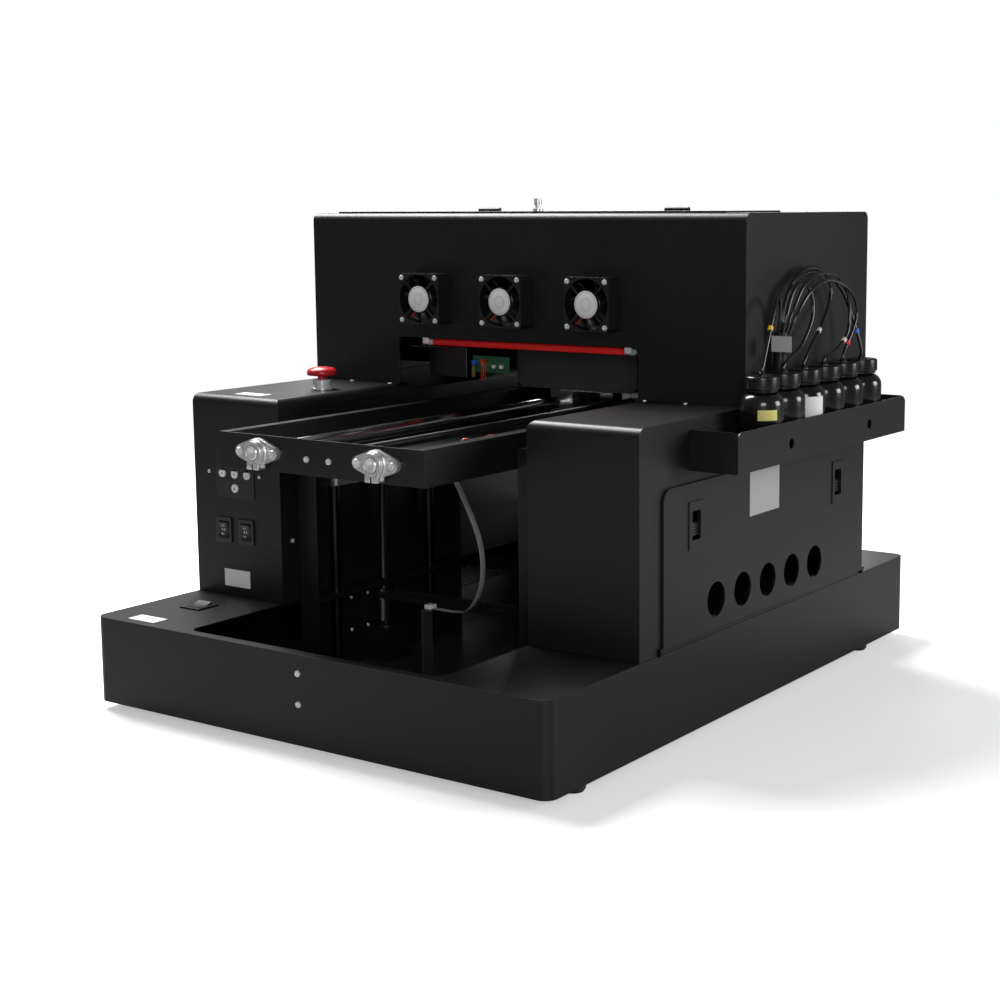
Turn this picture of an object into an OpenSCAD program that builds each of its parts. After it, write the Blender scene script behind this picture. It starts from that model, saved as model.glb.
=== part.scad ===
// Flatbed UV printer: a steel housing on a wide base, with a bed frame on two rods
// that lifts and lowers, a platen, a print carriage, cooling fans, controls and an ink shelf.
// X runs left to right, Y front to back, Z up. Millimetres.

/* [Base] */
// Width of the base, and of the housing on it
base_w = 612; // [500:1:740]
// Height of the base walls
base_h = 95; // [90:1:130]
// Radius of the base's upright corners
base_corner_r = 14; // [6:1:24]
// Thickness of the folded steel sheet
sheet = 2; // [1.5:0.1:2.5]
// Height of the rubber feet
foot_h = 10; // [6:1:20]
// Radius of a rubber foot
foot_r = 12; // [8:1:15]
// Depth of the deck in front of the towers
front_deck = 154; // [120:1:200]
// Depth of the deck behind the housing
rear_deck = 128; // [110:1:180]
// Width of the lip between the front wall and the deck cut-out
deck_lip = 12; // [8:1:24]

/* [Housing] */
// Width of each side tower
tower_w = 135; // [125:1:165]
// Height of the towers above the deck
tower_h = 232; // [225:1:290]
// How far the towers stand in front of the hood
tower_lead = 210; // [150:1:260]
// Radius of the bends along the tower tops
bend_r = 10; // [4:1:14]
// Depth of the hood
hood_d = 298; // [250:1:360]
// Height of the hood above the towers
hood_h = 205; // [175:1:260]
// Radius of the bends along the hood top
hood_r = 9; // [4:1:14]
// Height of the mouth through the hood
mouth_h = 57.5; // [50:0.5:80]

/* [Lid and door] */
// Depth of the top lid
lid_d = 124; // [90:1:150]
// Distance from the hood's sides to the lid
lid_margin = 32; // [20:1:60]
// Thickness of the side door
door_t = 3; // [2.4:0.1:4]
// Distance from the deck to the top of the side door
door_h = 167; // [150:1:172]
// Radius of the round holes in the side door
door_hole_r = 18.5; // [10:0.5:22]
// Distance between the round holes in the side door
door_hole_pitch = 56.7; // [50:0.1:66]

/* [Fans] */
// Side of a fan frame
fan_size = 60; // [50:1:70]
// Depth of a fan frame
fan_d = 25; // [20:1:30]
// Distance between fan centres
fan_pitch = 119; // [80:1:150]

/* [Bed] */
// Gap between the bed frame and each tower
bed_gap = 33; // [31:1:45]
// Height of the bed frame's sheet walls
bed_h = 37; // [36:1:44]
// Distance from the base's front to the bed frame's front
bed_front = 34; // [24:1:60]
// Distance from the base's rear to the bed frame's rear
bed_rear = 28; // [24:1:60]
// Drop from the tower tops to the bed frame's top
bed_drop = 19; // [19:1:30]
// How far the bed lowers
lift_down = 120; // [60:1:130]
// Radius of the two rods under the platen
rod_r = 8; // [6:0.5:9]
// Distance between the two rods
rod_pitch = 160; // [120:1:180]
// Depth of the platen, along its travel
platen_d = 210; // [160:1:240]
// Thickness of the platen
platen_t = 4; // [3:0.5:6]

/* [Lift] */
// Radius of the upright guide rods
guide_r = 6; // [4:0.5:7]
// Radius of the lift screws
screw_r = 5; // [4:0.5:6]
// Radius of the lift belt's pulleys
lift_pulley_r = 10; // [8:0.5:11]

/* [Carriage] */
// Width of the print carriage
carriage_w = 170; // [140:1:200]
// Depth of the print carriage
carriage_d = 66; // [56:1:70]
// Height of the print carriage
carriage_h = 65; // [50:1:68]
// Radius of the carriage belt's pulleys
belt_pulley_r = 8; // [6:0.5:9]

/* [Ink] */
// Width of the ink shelf
shelf_w = 55; // [53:1:66]
// Height of the ink shelf's walls
shelf_h = 42; // [30:1:50]
// Radius of an ink bottle
bottle_r = 23.7; // [19:0.1:24]
// Height of an ink bottle without its cap
bottle_h = 78; // [70:1:90]
// Distance between bottle centres
bottle_pitch = 48.2; // [40:0.1:54]
// Radius of a bottle cap
cap_r = 18.8; // [16:0.1:20]
// Height of a bottle cap
cap_h = 14; // [12:1:18]
// Radius of an ink tube
tube_r = 2; // [1.5:0.1:2.5]

/* [Controls] */
// Radius of the emergency stop's mushroom head
stop_r = 17.5; // [14:0.5:20]
// Radius of a panel button
button_r = 5; // [4:0.5:6]
// Distance between the panel buttons
button_pitch = 19.4; // [16:0.1:22]
// Width of a panel rocker switch
rocker_w = 24; // [20:1:27]
// Height of a panel rocker switch
rocker_h = 29; // [25:1:34]

/* [Hidden] */
$fn = 64;

// Clearances
run = 0.05;      // radial clearance of a running fit
free = 0.4;      // gap between faces of pieces that move past each other
over = 1;        // how far a cutting shape runs past the face it cuts

// Heights and depths of the main pieces
deck_z = foot_h + base_h;
tower_top = deck_z + tower_h;
hood_top = tower_top + hood_h;
mouth_top = tower_top + mouth_h;
hood_front = front_deck + tower_lead;
house_rear = hood_front + hood_d;
base_d = house_rear + rear_deck;
bay_w = base_w - 2 * tower_w;
mid_w = base_w / 2;
floor_z = foot_h + sheet;
tube_hole = 9;   // radius of the grommet hole for the ink tubes

// The part's origin is the middle of its footprint
bolt_proud = 2;
row_x = (base_w + shelf_w) / 2;
row_y = base_d / 2;

// Bed frame and platen
bed_w = bay_w - 2 * bed_gap;
bed_x = tower_w + bed_gap;
bed_top = tower_top - bed_drop;
bed_z = bed_top - bed_h;
bed_end = base_d - bed_rear;
rod_z = bed_top - 17.5;
platen_w = bed_w;
platen_z = bed_top + 2;
platen_y = bed_end + 4 - platen_d;
support_t = 12;

// Lift columns
column_x = tower_w + 2;
column_w = bed_gap - 5;
column_front = front_deck + 26;
column_d = 260;
column_top = bed_z + 22;
guide_inset = 45;
guide_x = column_x + 14;
lift_screw_y = column_front + column_d / 2;
guide_y1 = column_front + guide_inset;
guide_y2 = column_front + column_d - guide_inset;
pulley_z = floor_z + 72;
pulley_t = 12;
slider_z = bed_z - 46;
slider_h = 50;

// Print carriage and its beam
carriage_x = mid_w - 36;
carriage_y = hood_front + 56;
carriage_z = tower_top - 1;
rail_r = 6;
rail_y = carriage_y + carriage_d + 8;
rail_z = tower_top + 48;
beam_y = rail_y + 10;
beam_d = 40;
beam_h = 80;
beam_z = tower_top + 13;
belt_z = beam_z + beam_h + 25;
belt_y = rail_y - 5;
belt_end_x = 40;
motor_s = 42;

// Ink shelf
shelf_z = tower_top - 53;
shelf_y = hood_front - 114;
bottle_n = 6;
shelf_len = (bottle_n - 1) * bottle_pitch + 164.6;
bottle_x = base_w + shelf_w / 2;
bottle_y = shelf_y + 99.5;
shoulder_r = 13;
cap_top = shelf_z + sheet + bottle_h + 10;

// Side door
door_y = front_deck + 40;
door_rear = 7;
door_d = house_rear - door_rear - door_y;
door_z = deck_z + 5.5;
door_opening = 16;
latch_y = [door_y + 62, door_y + door_d - 72];
latch_z = deck_z + 123;
latch_w = 16;
hinge_r = 1.2;

// Controls
stop_x = 95;
stop_y = hood_front - 94;
panel_x = 65.5;
panel_z = deck_z + 143;
rocker_x = [46, 81];
rocker_z = deck_z + 77;
rocker_pivot = 1.5;
power_x = 65;
power_y = 93;
power_w = 30;
power_d = 31;
power_tilt = 8;

// Lid hinges
lid_y = hood_front + 12;
lid_t = 2;
lid_pin_z = hood_top + 3.4;
lid_pin_y = lid_y + lid_d + 3.6;
lid_hinge_x = [mid_w - 137, mid_w + 137];
knob_h = 15;

// Fans
fan_x = [mid_w - fan_pitch, mid_w, mid_w + fan_pitch];
fan_z = mouth_top + 47.5;
fan_bore_r = fan_size / 2 - 1.5;
fan_hub_r = 16;

// ---------- Shared shapes ----------

// Puts a piece drawn from the base's front left corner into the part's own frame
module row() translate([-row_x, -row_y, 0]) children();

// Mirrors a left-hand piece to the right-hand side
module right_hand() translate([base_w, 0, 0]) mirror([1, 0, 0]) children();

// Outline with four round corners
module round_rect(w, d, r) {
    translate([r, 0]) square([w - 2 * r, d]);
    translate([0, r]) square([w, d - 2 * r]);
    for (x = [r, w - r], y = [r, d - r]) translate([x, y]) circle(r = r);
}

// Outline with both top corners round
module arch_rect(w, h, r) {
    translate([r, 0]) square([w - 2 * r, h]);
    square([w, h - r]);
    for (x = [r, w - r]) translate([x, h - r]) circle(r = r);
}

// Outline with only its top right corner round
module corner_rect(w, h, r) {
    square([w - r, h]);
    square([w, h - r]);
    translate([w - r, h - r]) circle(r = r);
}

// Cylinders along X and Y
module rod_x(r, l) rotate([0, 90, 0]) cylinder(r = r, h = l);
module rod_y(r, l) rotate([-90, 0, 0]) cylinder(r = r, h = l);

// Extrudes an outline drawn in Y and Z along X
module along_x(l) rotate([90, 0, 90]) linear_extrude(l) children();

// Extrudes an outline drawn in X and Z along Y
module along_y(l) translate([0, l, 0]) rotate([90, 0, 0]) linear_extrude(l) children();

// Belt loop round two equal pulleys, drawn flat with the first pulley at the origin
module belt_loop(span, r, t, h) linear_extrude(h) difference() {
    union() {
        circle(r = r + t);
        translate([span, 0]) circle(r = r + t);
        translate([0, -r - t]) square([span, 2 * (r + t)]);
    }
    circle(r = r);
    translate([span, 0]) circle(r = r);
    translate([0, -r]) square([span, 2 * r]);
}

// Pulley with two flanges, its axis up
module pulley(r, h) {
    cylinder(r = r, h = h);
    for (z = [0, h - 1.5]) translate([0, 0, z]) cylinder(r = r + 2, h = 1.5);
}

// ---------- Base ----------

module base_shell() color("#202022") row() difference() {
    translate([0, 0, foot_h]) linear_extrude(base_h) round_rect(base_w, base_d, base_corner_r);
    translate([sheet, sheet, foot_h - over]) linear_extrude(base_h - sheet + over)
        round_rect(base_w - 2 * sheet, base_d - 2 * sheet, base_corner_r - sheet);
    translate([tower_w, deck_lip, deck_z - sheet - over]) linear_extrude(sheet + 2 * over)
        round_rect(bay_w, house_rear - 20 - deck_lip, 12);
    for (s = [tower_w / 2 - 35, base_w - tower_w / 2 - 35])
        translate([s, front_deck + 60, deck_z - sheet - over])
            cube([70, 120, sheet + 2 * over]);
    translate([power_x - power_w / 2 + 3, power_y - power_d / 2 + 3, deck_z - sheet - over])
        cube([power_w - 6, power_d - 6, sheet + 2 * over]);
    translate([inlet_x - 1.5, base_d - sheet - over, inlet_z - 1])
        cube([inlet_w - 3, sheet + 2 * over, inlet_h - 4]);
}

module base_floor() color("#2a2a2c") row() {
    translate([sheet, sheet, foot_h]) linear_extrude(sheet)
        round_rect(base_w - 2 * sheet, base_d - 2 * sheet, base_corner_r - sheet);
    translate([clip_x - 6, ribbon_y - 8, floor_z]) cube([3, 16, clip_z - floor_z]);
    translate([clip_x - 6, ribbon_y - 8, clip_z]) cube([14, 16, 2]);
}

module rubber_feet() color("#101010") row()
    for (x = [18, base_w - 18], y = [65, base_d - 100])
        translate([x, y, 0]) {
            cylinder(r1 = foot_r - 2, r2 = foot_r, h = 3);
            translate([0, 0, 3]) cylinder(r = foot_r, h = foot_h - 3);
        }

inlet_x = 62;
inlet_z = foot_h + 30;
inlet_w = 50;
inlet_h = 31;

module wall_fittings() color("#151515") row() {
    difference() {
        union() {
            translate([inlet_x - 4, base_d, inlet_z - 3])
                cube([inlet_w + 2, bolt_proud, inlet_h]);
            translate([inlet_x - 1, base_d - 26, inlet_z])
                cube([inlet_w - 4, 26, inlet_h - 6]);
        }
        translate([inlet_x + 8, base_d - 18, inlet_z + 4]) cube([27, 22, 17]);
    }
    translate([base_w, tube_exit_y, tube_exit_z]) difference() {
        union() {
            translate([-sheet, 0, 0]) rod_x(tube_hole, sheet);
            rod_x(tube_hole + 3, 2);
        }
        translate([-sheet - over, 0, 0]) rod_x(tube_hole - 1.4, 6);
    }
}

module power_supply() color("#b8babd") row() difference() {
    translate([20, house_rear - 182, floor_z]) cube([98, 200, 45]);
    for (i = [0:11]) translate([30 + 7 * i, house_rear - 172, floor_z + 43])
        cube([3, 120, 4]);
}

// ---------- Towers ----------

// Left tower's outer form, or the space inside it when inset by one sheet
module tower_form(g) intersection() {
    translate([g, front_deck + g, deck_z - (g > 0 ? over : 0)])
        along_y(house_rear - front_deck)
            corner_rect(tower_w - 2 * g, tower_h - g + (g > 0 ? over : 0), bend_r - g);
    translate([0, house_rear - sheet, 0]) mirror([0, 1, 0])
        translate([0, g > 0 ? -over : 0, deck_z - over])
            along_x(tower_w)
                corner_rect(house_rear - sheet - front_deck - g + (g > 0 ? over : 0),
                    tower_h - g + over, bend_r - g);
}

module tower() difference() {
    tower_form(0);
    tower_form(sheet);
    translate([sheet + 8, hood_front + 20, tower_top - sheet - over])
        cube([tower_w - 2 * sheet - 16, hood_d, sheet + 2 * over]);
    translate([sheet + 8, hood_front + 20, tower_top - 8]) cube([tower_w, 140, 8 + over]);
}

module left_tower() color("#202022") row() difference() {
    tower();
    translate([stop_x, stop_y, tower_top - sheet - over])
        cylinder(r = 8, h = sheet + 2 * over);
    for (x = button_x) translate([x[0], front_deck - over, x[1]])
        rod_y(button_r + free, sheet + 2 * over);
    for (x = rocker_x) translate([x - rocker_w / 2 + 3, front_deck - over, rocker_z - rocker_h / 2 + 3])
        cube([rocker_w - 6, sheet + 2 * over, rocker_h - 6]);
}

module right_tower() color("#202022") row() difference() {
    right_hand() tower();
    translate([base_w - sheet - over, door_y + door_opening, deck_z + 20])
        cube([sheet + 2 * over, door_d - 2 * door_opening, door_h - 37]);
}

module rear_panel() color("#202022") row() difference() {
    translate([0, house_rear - sheet, deck_z]) cube([base_w, sheet, tower_h]);
    translate([tower_w, house_rear - sheet - over, deck_z + 45])
        cube([bay_w, sheet + 2 * over, tower_h]);
    for (i = [0:5]) translate([base_w - tower_w + 20, house_rear - sheet - over, deck_z + 60 + 14 * i])
        cube([tower_w - 40, sheet + 2 * over, 5]);
}

// ---------- Hood ----------

module hood_form(g) translate([g, hood_front + g, tower_top - (g > 0 ? over : 0)])
    along_x(base_w - 2 * g)
        arch_rect(hood_d - 2 * g, hood_h - g + (g > 0 ? over : 0), hood_r - g);

module hood_shell() color("#202022") row() difference() {
    hood_form(0);
    hood_form(sheet);
    for (y = [hood_front, house_rear - sheet])
        translate([tower_w, y - over, tower_top - over]) along_y(sheet + 2 * over)
            arch_rect(bay_w, mouth_h + over, 5);
    for (x = fan_x) translate([x, hood_front - over, fan_z])
        rod_y(fan_bore_r, sheet + 2 * over);
    translate([lid_margin + 24, lid_y + 12, hood_top - sheet - over])
        cube([base_w - 2 * lid_margin - 48, lid_d - 26, sheet + 2 * over]);
    translate([base_w - sheet - over, tube_exit_y, tube_exit_z])
        rod_x(tube_hole, sheet + 2 * over);
    for (i = [0:9]) translate([60 + 10 * i, house_rear - sheet - over, hood_top - 70])
        cube([4, sheet + 2 * over, 40]);
}

module top_lid() color("#242426") row() difference() {
    union() {
        translate([lid_margin, lid_y, hood_top]) cube([base_w - 2 * lid_margin, lid_d, lid_t]);
        for (x = lid_hinge_x) {
            translate([x - 5, lid_y + lid_d - 2, hood_top + 0.6]) cube([10, 5, 4]);
            translate([x - 5, lid_pin_y, lid_pin_z]) rod_x(2.8, 10);
        }
        translate([mid_w, hood_front + 52, hood_top + lid_t]) {
            cylinder(r = 6, h = 3);
            cylinder(r = 3, h = knob_h - 5);
            translate([0, 0, knob_h - 8]) cylinder(r = 4.5, h = 8);
        }
    }
    for (x = lid_hinge_x) translate([x - 6, lid_pin_y, lid_pin_z]) rod_x(1.5 + run, 12);
}

module hinge_pins() color("#9a9a9e") row() {
    for (x = lid_hinge_x) {
        translate([x - 16, lid_pin_y, lid_pin_z]) rod_x(1.5, 32);
        for (s = [-16, 5 + free]) translate([x + s, lid_pin_y, lid_pin_z])
            rod_x(2.8, 11 - free);
        for (s = [-16, 5 + free]) translate([x + s, lid_pin_y, hood_top])
            cube([11 - free, 14, 1.4]);
        translate([x - 16, lid_pin_y + 4, hood_top]) cube([32, 10, 1.4]);
    }
    for (s = [0, 1]) translate([base_w, s == 0 ? door_y - 6 : door_y + door_d + free, 0]) {
        translate([0, 0, deck_z]) cube([door_t, 6 - free, 8]);
        translate([door_t / 2, s == 0 ? 0 : -7, door_z]) rod_y(hinge_r, 13 - free);
    }
}

// ---------- Side door ----------

module side_door() color("#232325") row() difference() {
    union() {
        translate([base_w, door_y, door_z]) along_x(door_t)
            arch_rect(door_d, deck_z + door_h - door_z, 14);
        translate([base_w + door_t / 2, door_y, door_z]) rod_y(door_t / 2, door_d);
        for (y = latch_y) translate([base_w + door_t, y - 14, latch_z - 25]) cube([1.2, 28, 50]);
    }
    for (y = latch_y) translate([base_w - over, y - latch_w / 2 - free, latch_z - 15])
        cube([door_t + 1.2 + 2 * over, latch_w + 2 * free, 30]);
    for (i = [-2:2]) translate([base_w - over, door_y + door_d / 2 - 12 + i * door_hole_pitch, deck_z + 37.6])
        rod_x(door_hole_r, door_t + 2 * over);
    for (y = [door_y - over, door_y + door_d - 8])
        translate([base_w + door_t / 2, y, door_z]) rod_y(hinge_r + run, 8 + over);
}

module latch(y) row() {
    translate([base_w - sheet - 6, y - latch_w / 2, latch_z - 13]) cube([5, latch_w, 37]);
    translate([base_w - sheet - 1, y - latch_w / 2, latch_z - 12]) cube([sheet + door_t + 0.4, latch_w, 14]);
}
module latch_front() color("#0f0f10") latch(latch_y[0]);
module latch_rear() color("#0f0f10") latch(latch_y[1]);

// ---------- Fans ----------

// Fan frame, its front face at y = 0 and its axis at the origin
module fan_frame() {
    difference() {
        translate([-fan_size / 2, 0, -fan_size / 2]) along_y(fan_d)
            round_rect(fan_size, fan_size, 4);
        translate([0, -over, 0]) rod_y(fan_bore_r, fan_d + 2 * over);
        for (x = [-1, 1], z = [-1, 1])
            translate([x * (fan_size / 2 - 5), -over, z * (fan_size / 2 - 5)])
                rod_y(2.2, fan_d + 2 * over);
    }
    difference() {
        union() {
            rod_y(fan_hub_r, 3);
            rod_y(5, 12);
            for (a = [45, 135, 225, 315]) rotate([0, a, 0])
                translate([fan_hub_r - 1, 0.6, -1.5]) cube([fan_bore_r - fan_hub_r + 2.5, 2, 3]);
        }
        translate([0, 4, 0]) rod_y(2 + run, 9);
    }
}

module fan_frames() color("#161617") row()
    for (x = fan_x) translate([x, hood_front - fan_d, fan_z]) fan_frame();

module fan_rotor(i) color("#1a1a1b") row() translate([fan_x[i], hood_front - fan_d, fan_z]) {
    difference() {
        translate([0, 4, 0]) rod_y(fan_hub_r, 17);
        translate([0, 3, 0]) rod_y(fan_hub_r - 2, 16);
    }
    translate([0, 5, 0]) rod_y(2, 15);
    intersection() {
        translate([0, 4, 0]) rod_y(fan_bore_r - 1, 17);
        difference() {
            for (k = [0:6]) rotate([0, k * 360 / 7, 0])
                translate([fan_hub_r - 1, 12.5, 0]) rotate([40, 0, 0])
                    translate([0, -12, -0.8]) cube([fan_bore_r, 24, 1.6]);
            translate([0, 3, 0]) rod_y(fan_hub_r - 1, 20);
        }
    }
}
module fan_rotor_left() fan_rotor(0);
module fan_rotor_mid() fan_rotor(1);
module fan_rotor_right() fan_rotor(2);

// ---------- Fasteners ----------

// Pan head with a short shank, its head pointing along +Z
module screw_head(r, h) {
    cylinder(r = r, h = h * 0.6);
    translate([0, 0, h * 0.6]) cylinder(r1 = r, r2 = r * 0.7, h = h * 0.4);
}

module case_screws() color("#c8c8ca") row() {
    for (z = [foot_h + 43, foot_h + 75]) {
        translate([mid_w - 3, 0, z]) rotate([90, 0, 0]) screw_head(3.5, bolt_proud);
        translate([mid_w - 3, base_d, z]) rotate([-90, 0, 0]) screw_head(3.5, bolt_proud);
    }
    for (x = [62, 123, base_w - 123, base_w - 71])
        translate([x, hood_front - 5, tower_top]) screw_head(2.6, 1.4);
    for (z = [deck_z + 70, tower_top - 30])
        translate([tower_w, front_deck + 17.5, z]) rotate([0, 90, 0]) screw_head(2.6, 1.4);
    for (x = fan_x, sx = [-1, 1], sz = [-1, 1])
        translate([x + sx * (fan_size / 2 - 5), hood_front - fan_d, fan_z + sz * (fan_size / 2 - 5)])
            rotate([90, 0, 0]) screw_head(3.2, 2);
    for (x = [20, base_w / 2 - bay_w / 4, base_w / 2 + bay_w / 4, base_w - 20])
        translate([x, house_rear, tower_top + 80]) rotate([-90, 0, 0]) screw_head(2.6, 1.4);
}

// ---------- Controls ----------

module estop_body() color("#d0d0d2") row() translate([stop_x, stop_y, tower_top]) difference() {
    union() {
        cylinder(r = 12.5, h = 2.5);
        cylinder(r = 10.5, h = 11.5);
        translate([0, 0, -24]) cylinder(r = 7.9, h = 25);
        translate([0, 0, -sheet - 4]) cylinder(r = 11, h = 4);
    }
    translate([0, 0, -10]) cylinder(r = 5 + run, h = 30);
}

module estop_button() color("#c81e28") row() translate([stop_x, stop_y, tower_top + 16]) {
    cylinder(r1 = stop_r - 3, r2 = stop_r, h = 3);
    translate([0, 0, 3]) cylinder(r = stop_r, h = 4);
    translate([0, 0, 7]) cylinder(r1 = stop_r, r2 = stop_r - 5, h = 3.5);
    translate([0, 0, -14]) cylinder(r = 5, h = 15);
}

button_x = [for (i = [-1:1]) [panel_x + i * button_pitch, panel_z], [panel_x, panel_z - 16.7]];

module panel_plate() color("#0c0c0d") row() difference() {
    translate([panel_x - 30, front_deck - 0.8, panel_z - 28]) along_y(0.8) round_rect(60, 56, 3);
    for (b = button_x) translate([b[0], front_deck - 0.8 - over, b[1]])
        rod_y(button_r + free, 0.8 + 2 * over);
}

module button(i) color("#e4e4e6") row() translate([button_x[i][0], front_deck, button_x[i][1]]) {
    translate([0, -2.4, 0]) rod_y(button_r, sheet + 4);
    translate([0, sheet + 1.4, 0]) rod_y(button_r + 2, 1.4);
}
module button_left() button(0);
module button_mid() button(1);
module button_right() button(2);
module button_low() button(3);

// Switch bezel with its well, facing -Y, centred on the origin
module bezel(w, h) difference() {
    union() {
        translate([-w / 2, -bolt_proud, -h / 2]) cube([w, bolt_proud, h]);
        translate([3 - w / 2, 0, 3 - h / 2]) cube([w - 6, 18, h - 6]);
    }
    translate([4.6 - w / 2, -bolt_proud - over, 4.6 - h / 2]) cube([w - 9.2, 14 + over, h - 9.2]);
}

// Rocker for a bezel, its pivot axis along X at the origin
module rocker(w, h) {
    half = h / 2 - 4.6 - free - 0.6;
    translate([4.6 + free - w / 2, 0, 0]) along_x(w - 9.2 - 2 * free)
        polygon([[-5.4, -half], [-3.4, 0], [-5.4, half], [2, half], [6, 0], [2, -half]]);
}

module rocker_bezels() color("#0e0e0f") row() {
    for (x = rocker_x) translate([x, front_deck, rocker_z]) bezel(rocker_w, rocker_h);
    translate([power_x, power_y, deck_z]) rotate([-90, 0, 0]) bezel(power_w, power_d);
}

module panel_rocker(i) color("#18181a") row()
    translate([rocker_x[i], front_deck + rocker_pivot, rocker_z]) rocker(rocker_w, rocker_h);
module panel_rocker_left() panel_rocker(0);
module panel_rocker_right() panel_rocker(1);

module power_rocker() color("#18181a") row()
    translate([power_x, power_y, deck_z - rocker_pivot]) rotate([-90, 0, 0])
        rotate([power_tilt, 0, 0]) rocker(power_w, power_d);

module control_board() color("#0d5a34") row() {
    translate([8, front_deck + 160, deck_z + 60]) cube([1.6, 160, 100]);
    for (y = [6, 150], z = [6, 90]) translate([sheet, front_deck + 160 + y, deck_z + 60 + z])
        rod_x(3, 6);
    for (y = [20, 66, 112], z = [20, 60])
        translate([9.6, front_deck + 160 + y, deck_z + 60 + z]) cube([2.4, 26, 22]);
    translate([9.6, front_deck + 168, deck_z + 144]) cube([9, 90, 8]);
}

// ---------- Lift ----------

// Left lift column: a channel that opens toward the bed
module lift_column() difference() {
    union() {
        translate([column_x, column_front, floor_z]) cube([sheet, column_d, column_top - floor_z]);
        for (y = [column_front, column_front + column_d - sheet])
            translate([column_x, y, floor_z]) cube([column_w, sheet, column_top - floor_z]);
        for (z = [pulley_z + pulley_t + 8, column_top - 6])
            translate([column_x, column_front, z]) cube([column_w, column_d, 6]);
    }
    translate([guide_x, lift_screw_y, pulley_z]) cylinder(r = screw_r + run, h = column_top);
    for (y = [guide_y1, guide_y2]) translate([guide_x, y, 0]) cylinder(r = guide_r, h = column_top + over);
    translate([column_x - over, lift_screw_y - 24, floor_z - over]) cube([sheet + 2 * over, 48, 45]);
}

module lift_columns() color("#1b1b1d") row() {
    lift_column();
    right_hand() lift_column();
}

module lift_guide_rods() color("#dcdcdf") row()
    for (x = [guide_x, base_w - guide_x], y = [guide_y1, guide_y2])
        translate([x, y, floor_z]) cylinder(r = guide_r, h = column_top - floor_z);

module lift_slider() difference() {
    union() {
        translate([column_x + sheet + 2, guide_y1 - 20, slider_z])
            cube([column_w - sheet - 1.5, guide_y2 - guide_y1 + 40, slider_h]);
        translate([bed_x - 2.5, guide_y1 - 12, slider_z])
            cube([2.5, guide_y2 - guide_y1 + 24, bed_z + 20 - slider_z]);
    }
    for (y = [guide_y1, guide_y2]) translate([guide_x, y, slider_z - over])
        cylinder(r = guide_r + run, h = slider_h + 2 * over);
    translate([guide_x, lift_screw_y, slider_z - over])
        cylinder(r = screw_r + run, h = slider_h + 2 * over);
    for (y = [guide_y1 + 22, lift_screw_y + 20])
        translate([column_x, y, slider_z + 8]) cube([column_w - 6, 44, slider_h - 16]);
}

module lift_carriages() color("#8f9194") row() {
    lift_slider();
    right_hand() lift_slider();
}

module lift_screw() translate([guide_x, lift_screw_y, 0]) {
    translate([0, 0, pulley_z]) cylinder(r = screw_r, h = column_top - pulley_z - 1);
    translate([0, 0, pulley_z]) pulley(lift_pulley_r, pulley_t);
}

module lift_screw_left() color("#c9c9cc") row() difference() {
    union() {
        lift_screw();
        translate([guide_x, lift_screw_y, floor_z + 46]) cylinder(r = 9, h = pulley_z - floor_z - 46);
    }
    translate([guide_x, lift_screw_y, floor_z + 45]) cylinder(r = 2.5 + run, h = 22);
}
module lift_screw_right() color("#c9c9cc") row() right_hand() lift_screw();

module lift_motor() color("#26262a") row() translate([guide_x, lift_screw_y, floor_z]) {
    translate([-motor_s / 2, -motor_s / 2, 0]) cube([motor_s, motor_s, 38]);
    cylinder(r = 11, h = 40);
    cylinder(r = 2.5, h = 62);
}

module lift_belt() color("#111112") row()
    translate([guide_x, lift_screw_y, pulley_z + 2]) {
        belt_loop(base_w - 2 * guide_x, lift_pulley_r + free, 1.3, pulley_t - 4);
    }

// ---------- Bed ----------

module bed_frame() color("#1d1d1f") row() difference() {
    union() {
        difference() {
            translate([bed_x, bed_front, bed_z]) cube([bed_w, bed_end - bed_front, bed_h]);
            translate([bed_x + sheet, bed_front + sheet, bed_z + sheet])
                cube([bed_w - 2 * sheet, bed_end - bed_front - 2 * sheet, bed_h]);
        }
        for (s = [0, 1]) translate([s == 0 ? bed_x + sheet : bed_x + bed_w - sheet - 10, bed_front + sheet, bed_top - sheet])
            cube([10, bed_end - bed_front - 2 * sheet, sheet]);
        translate([mid_w - 12, bed_front + 10, bed_z + sheet]) cube([24, 12, rod_z - bed_z + 8]);
    }
    for (s = [-1, 1]) translate([mid_w + s * rod_pitch / 2, bed_front - over, rod_z])
        rod_y(rod_r, bed_end - bed_front + 2 * over);
    translate([mid_w, bed_front + 9, rod_z]) rod_y(4 + run, 14);
    for (i = [0:2]) translate([mid_w + 20, bed_front + 120 + 170 * i, bed_z - over])
        cube([40, 110, sheet + 2 * over]);
}

module bed_rods() color("#e6e6e8") row()
    for (s = [-1, 1]) translate([mid_w + s * rod_pitch / 2, bed_front - support_t, rod_z])
        rod_y(rod_r, bed_end - bed_front + 2 * support_t);

// Flanged rod support, its flange face at y = support_t
module rod_support() difference() {
    union() {
        rod_y(rod_r + 7, support_t);
        translate([0, support_t - 6, 0]) along_y(6)
            polygon([[-29, -4], [-29, 4], [-14, 15], [14, 15], [29, 4], [29, -4], [14, -15], [-14, -15]]);
        translate([-9, 0, -rod_r - 10]) cube([18, support_t, 10]);
    }
    translate([0, -over, 0]) rod_y(rod_r, support_t + 2 * over);
    for (s = [-1, 1]) translate([s * 23, -over, 0]) rod_y(2.8, support_t + 2 * over);
    translate([-0.75, -over, -rod_r - 12]) cube([1.5, support_t + 2 * over, 13]);
}

module rod_supports() color("#e8e8ea") row() for (s = [-1, 1]) {
    translate([mid_w + s * rod_pitch / 2, bed_front - support_t, rod_z]) rod_support();
    translate([mid_w + s * rod_pitch / 2, bed_end + support_t, rod_z]) mirror([0, 1, 0]) rod_support();
}

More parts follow.
